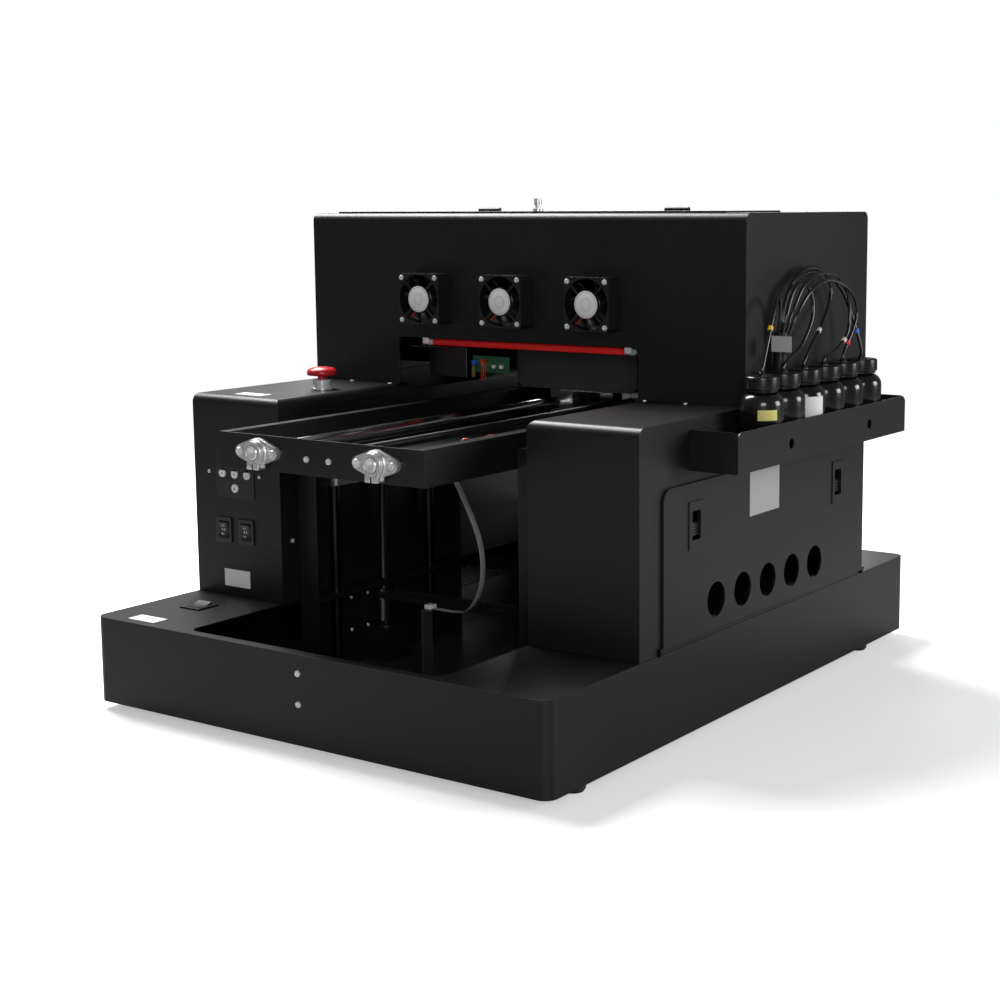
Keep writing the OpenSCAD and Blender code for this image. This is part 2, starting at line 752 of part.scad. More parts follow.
module bed_bolts() color("#c8c8ca") row() {
    for (x = [mid_w - 15, mid_w + 15]) translate([x, bed_front, rod_z - 3])
        rotate([90, 0, 0]) screw_head(3.4, 2.4);
    for (s = [-1, 1], e = [-23, 23])
        translate([mid_w + s * rod_pitch / 2 + e, bed_front - 6, rod_z]) {
            rotate([90, 0, 0]) screw_head(4.4, 3);
            rod_y(2.6, 6);
        }
}

module platen_bearings() color("#b5b7ba") row() difference() {
    union() {
        for (s = [-1, 1], y = [20, platen_d - 96]) {
            translate([mid_w + s * rod_pitch / 2 - 17, platen_y + y, bed_z + 5])
                cube([34, 40, platen_z - bed_z - 5]);
        }
        translate([mid_w - 14, platen_y + 62, bed_z + 5]) cube([28, 44, platen_z - bed_z - 5]);
    }
    for (s = [-1, 1]) translate([mid_w + s * rod_pitch / 2, 0, rod_z]) rod_y(rod_r + run, base_d);
    translate([mid_w, 0, rod_z]) rod_y(screw_r + run, base_d);
}

module platen_plate() color("#3a3b3e") row() difference() {
    translate([mid_w - platen_w / 2, platen_y, platen_z]) linear_extrude(platen_t)
        round_rect(platen_w, platen_d, 6);
    for (x = [-1, 0, 1], y = [0:3]) translate([mid_w + x * (platen_w / 2 - 14), platen_y + 14 + y * (platen_d - 28) / 3, platen_z - over])
        cylinder(r = 2.6, h = platen_t + 2 * over);
}

module platen_screw() color("#c9c9cc") row() translate([mid_w, 0, rod_z]) difference() {
    union() {
        translate([0, bed_front + 8, 0]) rod_y(4, 16);
        translate([0, bed_front + 23, 0]) rod_y(screw_r, bed_end - bed_front - 23 - 66);
        translate([0, bed_end - 66, 0]) rod_y(8, 18 - free);
    }
    translate([0, bed_end - 60, 0]) rod_y(2.5 + run, 13);
}

module platen_motor() color("#26262a") row() translate([mid_w, bed_end - 44, rod_z]) {
    translate([-17.5, 0, bed_z + sheet - rod_z]) cube([35, 34, 33]);
    translate([-17.5, -4, bed_z + sheet - rod_z]) cube([35, 4, 33]);
    translate([0, -15, 0]) rod_y(2.5, 16);
}

// ---------- Print carriage ----------

module gantry_beam() color("#2c2d30") row() {
    difference() {
        translate([sheet, beam_y, beam_z]) cube([base_w - 2 * sheet, beam_d, beam_h]);
        translate([sheet - over, beam_y + 3, beam_z + 3]) cube([base_w, beam_d, beam_h - 6]);
    }
    for (x = [sheet, base_w - sheet - 12])
        translate([x, rail_y - rail_r - 3, rail_z - 12]) cube([12, beam_y - rail_y + rail_r + 3, 24]);
    translate([sheet, rail_y, rail_z]) rod_x(rail_r, base_w - 2 * sheet);
    translate([base_w - belt_end_x - 8, beam_y, beam_z + beam_h]) cube([16, 4, belt_z - beam_z - beam_h + 8]);
    translate([base_w - belt_end_x, belt_y, belt_z]) rod_y(2.5, beam_y - belt_y);
}

module carriage_motor() color("#26262a") row() {
    translate([belt_end_x - motor_s / 2, beam_y, beam_z + beam_h]) cube([motor_s, 4, motor_s + 4]);
    translate([belt_end_x - motor_s / 2, beam_y + 4, belt_z - motor_s / 2]) cube([motor_s, 36, motor_s]);
    translate([belt_end_x, belt_y, belt_z]) rod_y(2.5, beam_y - belt_y);
}

// Toothless stand-in for a belt pulley, its axis along Y
module belt_pulley(x) color("#c4c6c9") row() translate([x, belt_y, belt_z]) rotate([-90, 0, 0])
    difference() {
        pulley(belt_pulley_r, 12);
        translate([0, 0, -over]) cylinder(r = 2.5 + run, h = 14);
    }
module carriage_pulley() belt_pulley(belt_end_x);
module carriage_idler() belt_pulley(base_w - belt_end_x);

module carriage_belt() color("#111112") row()
    translate([belt_end_x, belt_y + 10, belt_z]) rotate([90, 0, 0])
        belt_loop(base_w - 2 * belt_end_x, belt_pulley_r + free, 1.2, 8);

module carriage_body() color("#3b3c3f") row() difference() {
    union() {
        translate([carriage_x, carriage_y + carriage_d, carriage_z + carriage_h]) mirror([0, 0, 1]) mirror([0, 1, 0])
            along_y(carriage_d) arch_rect(carriage_w, carriage_h, 12);
        translate([carriage_x + 10, carriage_y + carriage_d, rail_z - 14])
            cube([carriage_w - 20, rail_y - carriage_y - carriage_d + 8, 28]);
        translate([carriage_x + carriage_w / 2 - 6, belt_y + 2, rail_z + 12])
            cube([12, 8, belt_z - belt_pulley_r - free - 1.2 - free - rail_z - 12]);
    }
    translate([carriage_x - over, rail_y, rail_z]) rod_x(rail_r + run, carriage_w + 2 * over);
    translate([carriage_x + 6, carriage_y + 6, carriage_z + 12])
        cube([carriage_w - 12, carriage_d - 12, carriage_h]);
}

module print_head() color("#9a9ca0") row()
    translate([carriage_x + 55, carriage_y + 12, carriage_z - 2.5]) {
        cube([60, 42, 2.5]);
        translate([4, 4, -0.5]) cube([52, 34, 0.5]);
    }

module capping_station() color("#55575b") row() {
    translate([base_w - tower_w + sheet, carriage_y + 10, tower_top - 52]) cube([3, 56, 46]);
    translate([base_w - tower_w + sheet + 3, carriage_y + 10, tower_top - 24]) cube([100, 56, 6]);
    translate([base_w - tower_w + 24, carriage_y + 16, tower_top - 18]) difference() {
        cube([62, 44, 10]);
        translate([3, 3, 3]) cube([56, 38, 10]);
    }
}

module guard_bar() color("#e01414") row() {
    translate([guard_x + 10, hood_front + 15, mouth_top - 5.5]) rod_x(4.5, guard_l - 20);
    for (x = [guard_x, guard_x + guard_l - 10])
        translate([x, hood_front + sheet, mouth_top - 9.5]) {
            cube([10, 17, 8]);
            cube([10, 3, 24]);
        }
}
guard_x = tower_w + 35;
guard_l = bay_w - 45;

// ---------- Ink ----------

module ink_shelf() color("#202022") row() difference() {
    union() {
        translate([base_w, shelf_y, shelf_z]) cube([shelf_w, shelf_len, sheet]);
        translate([base_w + shelf_w - sheet, shelf_y, shelf_z]) along_x(sheet)
            arch_rect(shelf_len, shelf_h, 9);
        for (y = [shelf_y, shelf_y + shelf_len - sheet])
            translate([base_w, y, shelf_z]) along_y(sheet)
                corner_rect(shelf_w, shelf_h, 7);
        translate([base_w, shelf_y, shelf_z]) cube([sheet, shelf_len, shelf_h]);
    }
    for (s = [-1, 1]) translate([base_w + shelf_w - sheet - over, shelf_hole_y + s * shelf_hole_pitch / 2, shelf_z + 18.5])
        rod_x(shelf_hole_r, sheet + 2 * over);
}
shelf_hole_y = shelf_y + shelf_len / 2 + 8;
shelf_hole_pitch = 192;
shelf_hole_r = 5.5;

module ink_bottles() color("#141415") row() for (i = [0:bottle_n - 1])
    translate([bottle_x, bottle_y + i * bottle_pitch, shelf_z + sheet]) rotate_extrude() union() {
        square([bottle_r, bottle_h - 7 - shoulder_r]);
        translate([0, bottle_h - 7 - shoulder_r]) square([bottle_r - shoulder_r, shoulder_r]);
        intersection() {
            translate([bottle_r - shoulder_r, bottle_h - 7 - shoulder_r]) circle(r = shoulder_r);
            square([bottle_r, bottle_h]);
        }
        square([15, bottle_h]);
        translate([0, bottle_h - 6.5]) square([17, 2]);
    }

module bottle_caps() color("#101011") row() for (i = [0:bottle_n - 1])
    translate([bottle_x, bottle_y + i * bottle_pitch, cap_top - cap_h]) difference() {
        cylinder(r = cap_r, h = cap_h);
        translate([0, 0, -over]) cylinder(r = 15.2, h = cap_h - 1.8 + over);
    }

// Middle line of each ink tube, measured from the shelf's front inner corner: out of the
// housing wall, up in the bundle and over a loop. Its last point is in its own cap
tube_exit_y = shelf_y + 171.8;
tube_exit_z = shelf_z + 75;
tube_routes = [
    [[-8, 167.5, 77.2], [1, 167.5, 77.7], [7.5, 167.5, 87], [8, 167, 114],
        [14, 164, 144], [17, 158, 164], [20, 146, 168], [24, 132, 156], [27, 114, 128],
        [27.5, 102, 102]],
    [[-8, 167.5, 72.8], [3, 167.5, 73.3], [12, 167.5, 86], [13, 167.3, 114],
        [19, 167.5, 144], [20, 182, 172], [20.5, 200, 182], [24.5, 216, 171],
        [26.5, 216, 144], [27.5, 190, 116], [27.5, 158, 102]],
    [[-8, 171.8, 77.2], [1, 171.8, 77.7], [7.5, 171.8, 88], [8, 171.8, 114],
        [11, 174, 144], [12.5, 190, 178], [13, 228, 197], [14, 262, 194], [16, 280, 178],
        [18, 276, 160], [22, 250, 136], [26, 216, 114], [27.5, 199, 100]],
    [[-8, 171.8, 72.8], [3, 171.8, 73.3], [12, 171.8, 87], [13.5, 171.8, 114],
        [22, 173, 144], [26, 190, 174], [26, 224, 190], [26, 266, 190], [26.5, 296, 175],
        [28, 306, 152], [29, 301, 124], [28.5, 278, 107], [27.5, 252, 99]],
    [[-8, 176.1, 72.8], [3, 176.1, 73.3], [12, 176.1, 88], [14, 176.1, 114],
        [25, 178, 144], [30.5, 200, 171], [31, 240, 184], [31, 278, 179],
        [31.5, 306, 166], [32, 318, 147], [31, 311, 127], [29, 298, 108]],
    [[-8, 176.1, 77.2], [1, 176.1, 77.7], [7.5, 176.1, 89], [8, 176.8, 114],
        [8, 182, 146], [8, 202, 180], [8, 246, 193], [10, 286, 188], [15, 314, 168],
        [21, 330, 136], [26, 338.5, 110]]
];

function tube_path(i) = [
    for (p = tube_routes[i]) p + [base_w, shelf_y, shelf_z],
    for (z = [6, 0]) [bottle_x, bottle_y + i * bottle_pitch, cap_top + z]
];

// Smooth curve through a list of points, n steps a span
function curve(p, n) = [
    for (i = [0:len(p) - 2], k = [0:n - 1])
        let (t = k / n, a = p[max(i - 1, 0)], b = p[i], c = p[i + 1], d = p[min(i + 2, len(p) - 1)])
        0.5 * (2 * b + (c - a) * t + (2 * a - 5 * b + 4 * c - d) * t * t + (3 * b - a - 3 * c + d) * t * t * t),
    p[len(p) - 1]
];
function unit(v) = v / norm(v);

// Tube of radius r with n sides along a list of points
module tube(p, r, n) {
    m = len(p);
    dir = [for (i = [0:m - 1]) unit(p[min(i + 1, m - 1)] - p[max(i - 1, 0)])];
    ring = [for (i = [0:m - 1]) let (u = unit(cross(dir[i], [0.9, 0.3, 0.1])), v = cross(dir[i], u))
        for (k = [0:n - 1]) p[i] + r * (cos(360 * k / n) * u + sin(360 * k / n) * v)];
    polyhedron(ring, concat(
        [[for (k = [0:n - 1]) k]],
        [[for (k = [0:n - 1]) (m - 1) * n + n - 1 - k]],
        [for (i = [0:m - 2], k = [0:n - 1])
            [i * n + k, (i + 1) * n + k, (i + 1) * n + (k + 1) % n, i * n + (k + 1) % n]]
    ));
}

module ink_tubes() color("#0c0c0d") row()
    for (i = [0:bottle_n - 1]) tube(curve(tube_path(i), 2), tube_r - run, 8);

// ---------- Ribbon cable ----------

ribbon_y = front_deck + 76;
ribbon_w = 9;
ribbon_t = 1.2;
clip_x = mid_w - 20;
clip_z = deck_z - 3;
ribbon_path = [[mid_w + 12, bed_z - 0.4], [mid_w + 12.5, bed_z - 16], [mid_w + 35, bed_z - 55],
    [mid_w + 51, bed_z - 90], [mid_w + 56, bed_z - 122], [mid_w + 50, clip_z + 28],
    [mid_w + 34, clip_z + 7], [mid_w + 14, clip_z + 3], [clip_x + 8, clip_z + 2.6], [clip_x, clip_z + 2.6]];

module ribbon_cable() color("#8d9094") row() {
    p = curve(ribbon_path, 4);
    m = len(p);
    side = [for (i = [0:m - 1]) let (d = unit(p[min(i + 1, m - 1)] - p[max(i - 1, 0)])) [-d[1], d[0]]];
    translate([0, ribbon_y - ribbon_w / 2, 0]) along_y(ribbon_w) polygon(concat(
        [for (i = [0:m - 1]) p[i] + side[i] * ribbon_t / 2],
        [for (i = [m - 1:-1:0]) p[i] - side[i] * ribbon_t / 2]));
}

base_shell();
base_floor();
rubber_feet();
left_tower();
right_tower();
hood_shell();
rear_panel();
fan_frames();
case_screws();
estop_body();
panel_plate();
rocker_bezels();
lift_columns();
lift_guide_rods();
lift_belt();
lift_motor();
gantry_beam();
carriage_belt();
carriage_motor();
capping_station();
control_board();
power_supply();
guard_bar();
ink_shelf();
ink_bottles();
bottle_caps();
ink_tubes();
wall_fittings();
hinge_pins();
bed_frame();
bed_rods();
rod_supports();
bed_bolts();
lift_carriages();
platen_motor();
platen_plate();
platen_bearings();
carriage_body();
print_head();
lift_screw_left();
lift_screw_right();
carriage_pulley();
carriage_idler();
platen_screw();
fan_rotor_left();
fan_rotor_mid();
fan_rotor_right();
estop_button();
power_rocker();
panel_rocker_left();
panel_rocker_right();
button_left();
button_mid();
button_right();
button_low();
top_lid();
side_door();
latch_front();
latch_rear();
ribbon_cable();
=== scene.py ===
import math
import bpy, bmesh
from mathutils import Matrix, Vector


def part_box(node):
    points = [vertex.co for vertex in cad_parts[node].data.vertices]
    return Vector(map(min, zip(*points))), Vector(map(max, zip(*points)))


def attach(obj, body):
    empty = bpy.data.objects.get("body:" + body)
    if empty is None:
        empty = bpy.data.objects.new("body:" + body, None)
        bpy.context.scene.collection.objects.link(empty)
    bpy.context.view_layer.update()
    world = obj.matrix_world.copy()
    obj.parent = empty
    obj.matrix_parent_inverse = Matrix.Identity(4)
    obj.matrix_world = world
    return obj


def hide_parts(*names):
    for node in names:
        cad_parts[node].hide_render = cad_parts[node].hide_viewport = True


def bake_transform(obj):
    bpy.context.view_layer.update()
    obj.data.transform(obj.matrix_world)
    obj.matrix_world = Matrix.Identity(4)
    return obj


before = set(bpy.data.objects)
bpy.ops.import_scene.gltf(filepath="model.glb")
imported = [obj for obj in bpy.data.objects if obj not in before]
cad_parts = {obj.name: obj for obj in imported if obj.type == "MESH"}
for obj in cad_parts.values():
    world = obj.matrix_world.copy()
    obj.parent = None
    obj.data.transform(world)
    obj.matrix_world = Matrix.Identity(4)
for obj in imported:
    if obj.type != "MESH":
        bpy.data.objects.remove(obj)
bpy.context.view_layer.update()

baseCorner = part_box("base_shell")[0]


def place(x, y, z):
    # millimetres from the base's front left corner, height from the bench
    return Vector((baseCorner.x + x / 1000, baseCorner.y + y / 1000, z / 1000))


# camera and light
view = {"x": 1481.9, "y": -1219.1, "z": 547.6, "turn": 0.588, "tip": 0.138, "roll": -0.0039,
        "lens": 61.48, "shift": (-0.10, -0.055)}
lens = bpy.data.cameras.new("camera")
camera = bpy.data.objects.new("camera", lens)
bpy.context.scene.collection.objects.link(camera)
camera.location = place(view["x"], view["y"], view["z"])
camera.rotation_euler = (Matrix.Rotation(view["turn"], 3, "Z") @ Matrix.Rotation(math.pi / 2 - view["tip"], 3, "X")
                         @ Matrix.Rotation(view["roll"], 3, "Z")).to_euler()
lens.lens, lens.sensor_width = view["lens"], 36
lens.shift_x, lens.shift_y = view["shift"]
lens.clip_start, lens.clip_end = 0.05, 60
bpy.context.scene.camera = camera
bpy.context.scene.view_settings.view_transform = "Standard"

studio = {"top": (-1.3, 0.3, 2.2, 1.3, 120), "right": (3.2, 1.6, 1.0, 1.4, 58), "front": (2.1, -2.5, 1.1, 1.2, 34),
          "back": (-1.9, 2.9, 1.1, 1.6, 34), "air": 0.13, "backdrop": 1.0, "floorSize": 7, "fadeFrom": 1.2,
          "fadeTo": 3.0,
          "floorBounce": 0.42, "floorGlow": 0.4}


def areaLight(name, x, y, z, size, power):
    light = bpy.data.lights.new(name, "AREA")
    light.shape, light.size, light.energy = "SQUARE", size, power
    holder = bpy.data.objects.new(name, light)
    bpy.context.scene.collection.objects.link(holder)
    holder.location = (x, y, z)
    holder.rotation_euler = (Vector((0, 0, 0.3)) - Vector((x, y, z))).to_track_quat("-Z", "Y").to_euler()
    holder.visible_camera = False


for name in ("top", "right", "front", "back"):
    areaLight(name + "Light", *studio[name])

world = bpy.data.worlds.new("studioAir")
bpy.context.scene.world = world
world.use_nodes = True
airTree = world.node_tree
softAir = airTree.nodes["Background"]
softAir.inputs["Color"].default_value = (1, 1, 1, 1)
softAir.inputs["Strength"].default_value = studio["air"]
plainWhite = airTree.nodes.new("ShaderNodeBackground")
plainWhite.inputs["Color"].default_value = (1, 1, 1, 1)
plainWhite.inputs["Strength"].default_value = studio["backdrop"]
seen = airTree.nodes.new("ShaderNodeLightPath")
chooser = airTree.nodes.new("ShaderNodeMixShader")
airTree.links.new(seen.outputs["Is Camera Ray"], chooser.inputs[0])
airTree.links.new(softAir.outputs[0], chooser.inputs[1])
airTree.links.new(plainWhite.outputs[0], chooser.inputs[2])
airTree.links.new(chooser.outputs[0], airTree.nodes["World Output"].inputs["Surface"])
print("stage: camera and light")


# materials
class Wire:
    # one output socket; sums on it add Math nodes
    def __init__(self, coat, out):
        self.coat, self.out = coat, out

    def sum(self, operation, other, swapped=False):
        pair = (other, self) if swapped else (self, other)
        return self.coat.node("ShaderNodeMath", {"operation": operation}, {0: pair[0], 1: pair[1]})

    def __add__(self, other): return self.sum("ADD", other)
    def __radd__(self, other): return self.sum("ADD", other, True)
    def __sub__(self, other): return self.sum("SUBTRACT", other)
    def __rsub__(self, other): return self.sum("SUBTRACT", other, True)
    def __mul__(self, other): return self.sum("MULTIPLY", other)
    def __rmul__(self, other): return self.sum("MULTIPLY", other, True)


class Coat:
    def __init__(self, name, color, roughness, metallic=0.0, coat=0.0, specular=0.5):
        self.material = bpy.data.materials.new(name)
        self.material.use_nodes = True
        self.tree = self.material.node_tree
        self.face = self.tree.nodes["Principled BSDF"]
        self.set("Base Color", (*color, 1))
        self.set("Roughness", roughness)
        self.set("Metallic", metallic)
        self.set("Coat Weight", coat)
        self.set("Specular IOR Level", specular)
        self.spot = self.node("ShaderNodeTexCoord", output="Object")

    def set(self, socket, value):
        self.plug(value, self.face.inputs[socket])
        return self

    def plug(self, value, target):
        if isinstance(value, Wire):
            self.tree.links.new(value.out, target)
        else:
            target.default_value = value

    def node(self, kind, settings=None, sockets=None, output=0):
        made = self.tree.nodes.new(kind)
        for key, value in (settings or {}).items():
            if key == "stops":
                for k, (where, shade) in enumerate(value):
                    stop = made.color_ramp.elements[k] if k < 2 else made.color_ramp.elements.new(where)
                    stop.position, stop.color = where, shade
            else:
                setattr(made, key, value)
        for key, value in (sockets or {}).items():
            self.plug(value, made.inputs[key])
        return Wire(self, made.outputs[output])

    def grain(self, scale, detail=3.0, stretch=None):
        where = self.spot
        if stretch:
            where = self.node("ShaderNodeMapping", {}, {"Vector": self.spot, "Scale": stretch})
        return self.node("ShaderNodeTexNoise", {}, {"Vector": where, "Scale": scale, "Detail": detail}, "Fac")

    def cells(self, scale):
        return self.node("ShaderNodeTexVoronoi", {}, {"Vector": self.spot, "Scale": scale}, "Distance")

    def ramp(self, fac, *stops):
        return self.node("ShaderNodeValToRGB", {"stops": stops}, {"Fac": fac}, "Color")

    def blend(self, fac, first, second):
        return self.node("ShaderNodeMix", {"data_type": "RGBA"}, {0: fac, 6: first, 7: second}, 2)

    def relief(self, height, strength, depth):
        return self.set("Normal", self.node("ShaderNodeBump", {},
                                            {"Height": height, "Strength": strength, "Distance": depth}))


def grey(value, warm=0.0):
    return (value * (1 + warm), value, value * (1 - warm), 1)


finish = {}


def powderSteel(name, shade, roughness, grainSize=950, bump=0.32, specular=0.34):
    coat = Coat(name, (shade,) * 3, roughness, specular=specular)
    pebble, cloud = coat.grain(grainSize, 2), coat.grain(7, 3)
    coat.set("Base Color", coat.ramp(cloud * 0.6 + pebble * 0.4, (0.3, grey(shade * 0.8, -0.02)),
                                     (0.7, grey(shade * 1.35, -0.02))))
    coat.set("Roughness", cloud * 0.10 + pebble * 0.10 + (roughness - 0.10))
    coat.relief(pebble + coat.cells(grainSize * 1.3) * 0.5, bump, 0.00022)
    finish[name] = coat.material


def moulded(name, color, roughness, grainSize=1400, bump=0.12, coatWeight=0.0, vary=0.14):
    coat = Coat(name, color, roughness, coat=coatWeight)
    fine, cloud = coat.grain(grainSize, 2), coat.grain(16, 3)
    low = tuple(c * (1 - vary) for c in color) + (1,)
    high = tuple(c * (1 + vary) for c in color) + (1,)
    coat.set("Base Color", coat.ramp(cloud, (0.3, low), (0.7, high)))
    coat.set("Roughness", cloud * 0.12 + (roughness - 0.06))
    coat.relief(fine, bump, 0.00012)
    finish[name] = coat.material
    return coat


def metal(name, color, roughness, stretch=(1, 1, 1), scale=900, bump=0.1, vary=0.1, shine=1.0):
    coat = Coat(name, color, roughness, metallic=shine)
    streak, cloud = coat.grain(scale, 3, stretch), coat.grain(24, 3)
    coat.set("Base Color", coat.ramp(streak * 0.5 + cloud * 0.5, (0.3, tuple(c * (1 - vary) for c in color) + (1,)),
                                     (0.7, tuple(min(1, c * (1 + vary)) for c in color) + (1,))))
    coat.set("Roughness", streak * 0.14 + cloud * 0.08 + (roughness - 0.11))
    coat.relief(streak, bump, 0.00008)
    finish[name] = coat.material
    return coat


powderSteel("blackPowder", 0.0062, 0.40)
# a darker, duller copy of the black powder coat: painted shade for inner parts, slits and the view behind slots
powderSteel("innerBlack", 0.003, 0.5, 700, 0.2, 0.2)
powderSteel("bedBlack", 0.006, 0.36, 1100, 0.22)
# the base floor plate's powder coat, lightened and made glossier: painted light for the bay floor that the lamps barely
# reach
powderSteel("floorSteel", 0.03, 0.32, 900, 0.2, 0.5)
moulded("satinPlastic", (0.008, 0.008, 0.0083), 0.34)
moulded("fanPlastic", (0.007, 0.007, 0.0073), 0.28, 900)
moulded("footRubber", (0.014, 0.014, 0.014), 0.7, 600, 0.3)
moulded("bottlePlastic", (0.005, 0.005, 0.0053), 0.2, 500, 0.05, 0.3)
moulded("capPlastic", (0.0045, 0.0045, 0.0048), 0.27, 1100, 0.1)
moulded("tubePlastic", (0.006, 0.006, 0.0063), 0.16, 700, 0.05, 0.3)
moulded("panelFilm", (0.005, 0.005, 0.0055), 0.3, 1700, 0.1)
moulded("buttonWhite", (0.86, 0.86, 0.88), 0.28, 800, 0.04, 0.3, 0.05)
moulded("stopRed", (0.50, 0.008, 0.014), 0.34, 700, 0.1, 0.15, 0.1)
moulded("barRed", (0.78, 0.010, 0.006), 0.4, 700, 0.1, 0.1, 0.08)
moulded("motorBlack", (0.005, 0.005, 0.0053), 0.45, 700, 0.3)
moulded("slideGrey", (0.022, 0.022, 0.024), 0.4, 1100, 0.15)
moulded("capGrey", (0.13, 0.13, 0.14), 0.45)
moulded("whitePlastic", (0.72, 0.72, 0.70), 0.4, 900, 0.08, 0, 0.05)
moulded("bluePlastic", (0.02, 0.09, 0.42), 0.35, 900, 0.06)
moulded("wireRed", (0.55, 0.02, 0.012), 0.35, 600, 0.05)
moulded("wireOrange", (0.62, 0.13, 0.015), 0.35, 600, 0.05)
moulded("wireBlack", (0.01, 0.01, 0.01), 0.35, 600, 0.05)
moulded("wireGrey", (0.2, 0.2, 0.21), 0.4, 600, 0.05)
moulded("ringYellow", (0.78, 0.52, 0.03), 0.4, 600, 0.05)
moulded("ringWhite", (0.75, 0.74, 0.72), 0.4, 600, 0.05)
moulded("ringRed", (0.6, 0.03, 0.02), 0.4, 600, 0.05)
moulded("ringBlue", (0.03, 0.16, 0.6), 0.4, 600, 0.05)
metal("railChrome", (0.82, 0.83, 0.85), 0.16, (1, 0.02, 1), 900, 0.05, 0.05)
metal("zincSteel", (0.78, 0.78, 0.79), 0.3, (1, 1, 1), 1200, 0.1, shine=0.5)
metal("turnedSteel", (0.80, 0.80, 0.81), 0.26, (1, 1, 0.1), 700, 0.08, shine=0.45)
metal("sheetSteel", (0.55, 0.56, 0.57), 0.4, (1, 8, 1), 700, 0.12)
metal("alloy", (0.60, 0.61, 0.63), 0.36, (6, 1, 1), 800, 0.12)
metal("darkShaft", (0.03, 0.03, 0.033), 0.3, (1, 1, 0.05), 900, 0.05)
metal("darkAlloy", (0.075, 0.076, 0.08), 0.42, (8, 1, 1), 700, 0.12)
metal("brass", (0.70, 0.50, 0.22), 0.3)


def castAlloy():
    coat = Coat("castAlloy", (0.78, 0.79, 0.81), 0.34, metallic=0.8)
    skin, pits = coat.grain(420, 4), coat.cells(900)
    coat.set("Base Color", coat.ramp(skin, (0.3, grey(0.5)), (0.7, grey(0.74))))
    coat.set("Roughness", skin * 0.3 + 0.2)
    coat.relief(skin + pits * 0.4, 0.5, 0.0005)
    finish["castAlloy"] = coat.material


def paperLabel(name, color):
    coat = Coat(name, color, 0.5, coat=0.1)
    fibre = coat.grain(900, 4)
    coat.set("Base Color", coat.ramp(fibre, (0.3, tuple(c * 0.93 for c in color) + (1,)), (0.7, (*color, 1))))
    coat.set("Roughness", fibre * 0.2 + 0.38)
    coat.relief(fibre, 0.08, 0.0001)
    finish[name] = coat.material


def circuitBoard():
    coat = Coat("circuitBoard", (0.004, 0.03, 0.014), 0.35, coat=0.3)
    tracks = coat.node("ShaderNodeTexBrick", {"offset": 0.37}, {"Vector": coat.node("ShaderNodeMapping", {}, {
        "Vector": coat.spot, "Rotation": (0, math.pi / 2, 0)}), "Scale": 42, "Mortar Size": 0.03,
        "Color1": (0.004, 0.03, 0.014, 1), "Color2": (0.005, 0.04, 0.017, 1), "Mortar": (0.012, 0.08, 0.04, 1)},
        "Color")
    coat.set("Base Color", tracks)
    coat.set("Roughness", coat.grain(200, 2) * 0.2 + 0.28)
    finish["circuitBoard"] = coat.material


def toothedBelt():
    coat = Coat("toothedBelt", (0.004, 0.004, 0.004), 0.6, specular=0.2)
    teeth = coat.node("ShaderNodeTexWave", {"bands_direction": "X"}, {"Vector": coat.spot, "Scale": 160}, "Fac")
    coat.set("Roughness", coat.grain(500, 2) * 0.2 + 0.5)
    coat.relief(teeth, 0.8, 0.0006)
    finish["toothedBelt"] = coat.material


def braidedRibbon():
    # flat grey cable, its wires run along it
    coat = Coat("braidedRibbon", (0.3, 0.31, 0.32), 0.45)
    wires = coat.node("ShaderNodeTexWave", {"bands_direction": "Y"}, {"Vector": coat.spot, "Scale": 330}, "Fac")
    weave = coat.node("ShaderNodeTexWave", {"bands_direction": "Z"}, {"Vector": coat.spot, "Scale": 300}, "Fac")
    coat.set("Base Color", coat.ramp(wires * 0.6 + weave * 0.4, (0.15, grey(0.13)), (0.75, grey(0.42))))
    coat.set("Roughness", weave * 0.2 + 0.36)
    coat.relief(wires + weave * 0.5, 0.6, 0.0004)
    finish["braidedRibbon"] = coat.material


def screwThread():
    coat = Coat("screwThread", (0.06, 0.06, 0.065), 0.35, metallic=1.0)
    bands = coat.node("ShaderNodeTexWave", {"bands_direction": "DIAGONAL"},
                      {"Vector": coat.spot, "Scale": 240, "Distortion": 0.0}, "Fac")
    coat.set("Base Color", coat.ramp(bands, (0.2, grey(0.02)), (0.7, grey(0.09))))
    coat.set("Roughness", bands * -0.2 + 0.5)
    coat.relief(bands, 0.7, 0.0005)
    finish["screwThread"] = coat.material


castAlloy()
paperLabel("labelWhite", (0.80, 0.80, 0.79))
paperLabel("labelGrey", (0.42, 0.42, 0.43))
paperLabel("labelYellow", (0.72, 0.66, 0.20))
circuitBoard()
toothedBelt()
braidedRibbon()
screwThread()

# the floor thins out to the white air round it
floorCoat = Coat("paleFloor", (0.93, 0.93, 0.93), 0.6)
floorCoat.set("Roughness", floorCoat.grain(3, 2) * 0.1 + 0.55)
seenStraight = floorCoat.node("ShaderNodeLightPath", output="Is Camera Ray")
floorCoat.set("Base Color", floorCoat.blend(seenStraight, grey(studio["floorBounce"]), grey(0.93)))
floorCoat.set("Emission Color", floorCoat.blend(seenStraight, grey(0), grey(studio["floorGlow"])))
floorCoat.set("Emission Strength", 1)
fromMiddle = floorCoat.node("ShaderNodeVectorMath", {"operation": "LENGTH"}, {0: floorCoat.spot}, "Value")
floorCoat.set("Alpha", floorCoat.node("ShaderNodeMapRange", {"interpolation_type": "SMOOTHSTEP"}, {
    "Value": fromMiddle, 1: studio["fadeFrom"], 2: studio["fadeTo"], 3: 1.0, 4: 0.0}))
finish["paleFloor"] = floorCoat.material
print("stage: materials", len(finish))


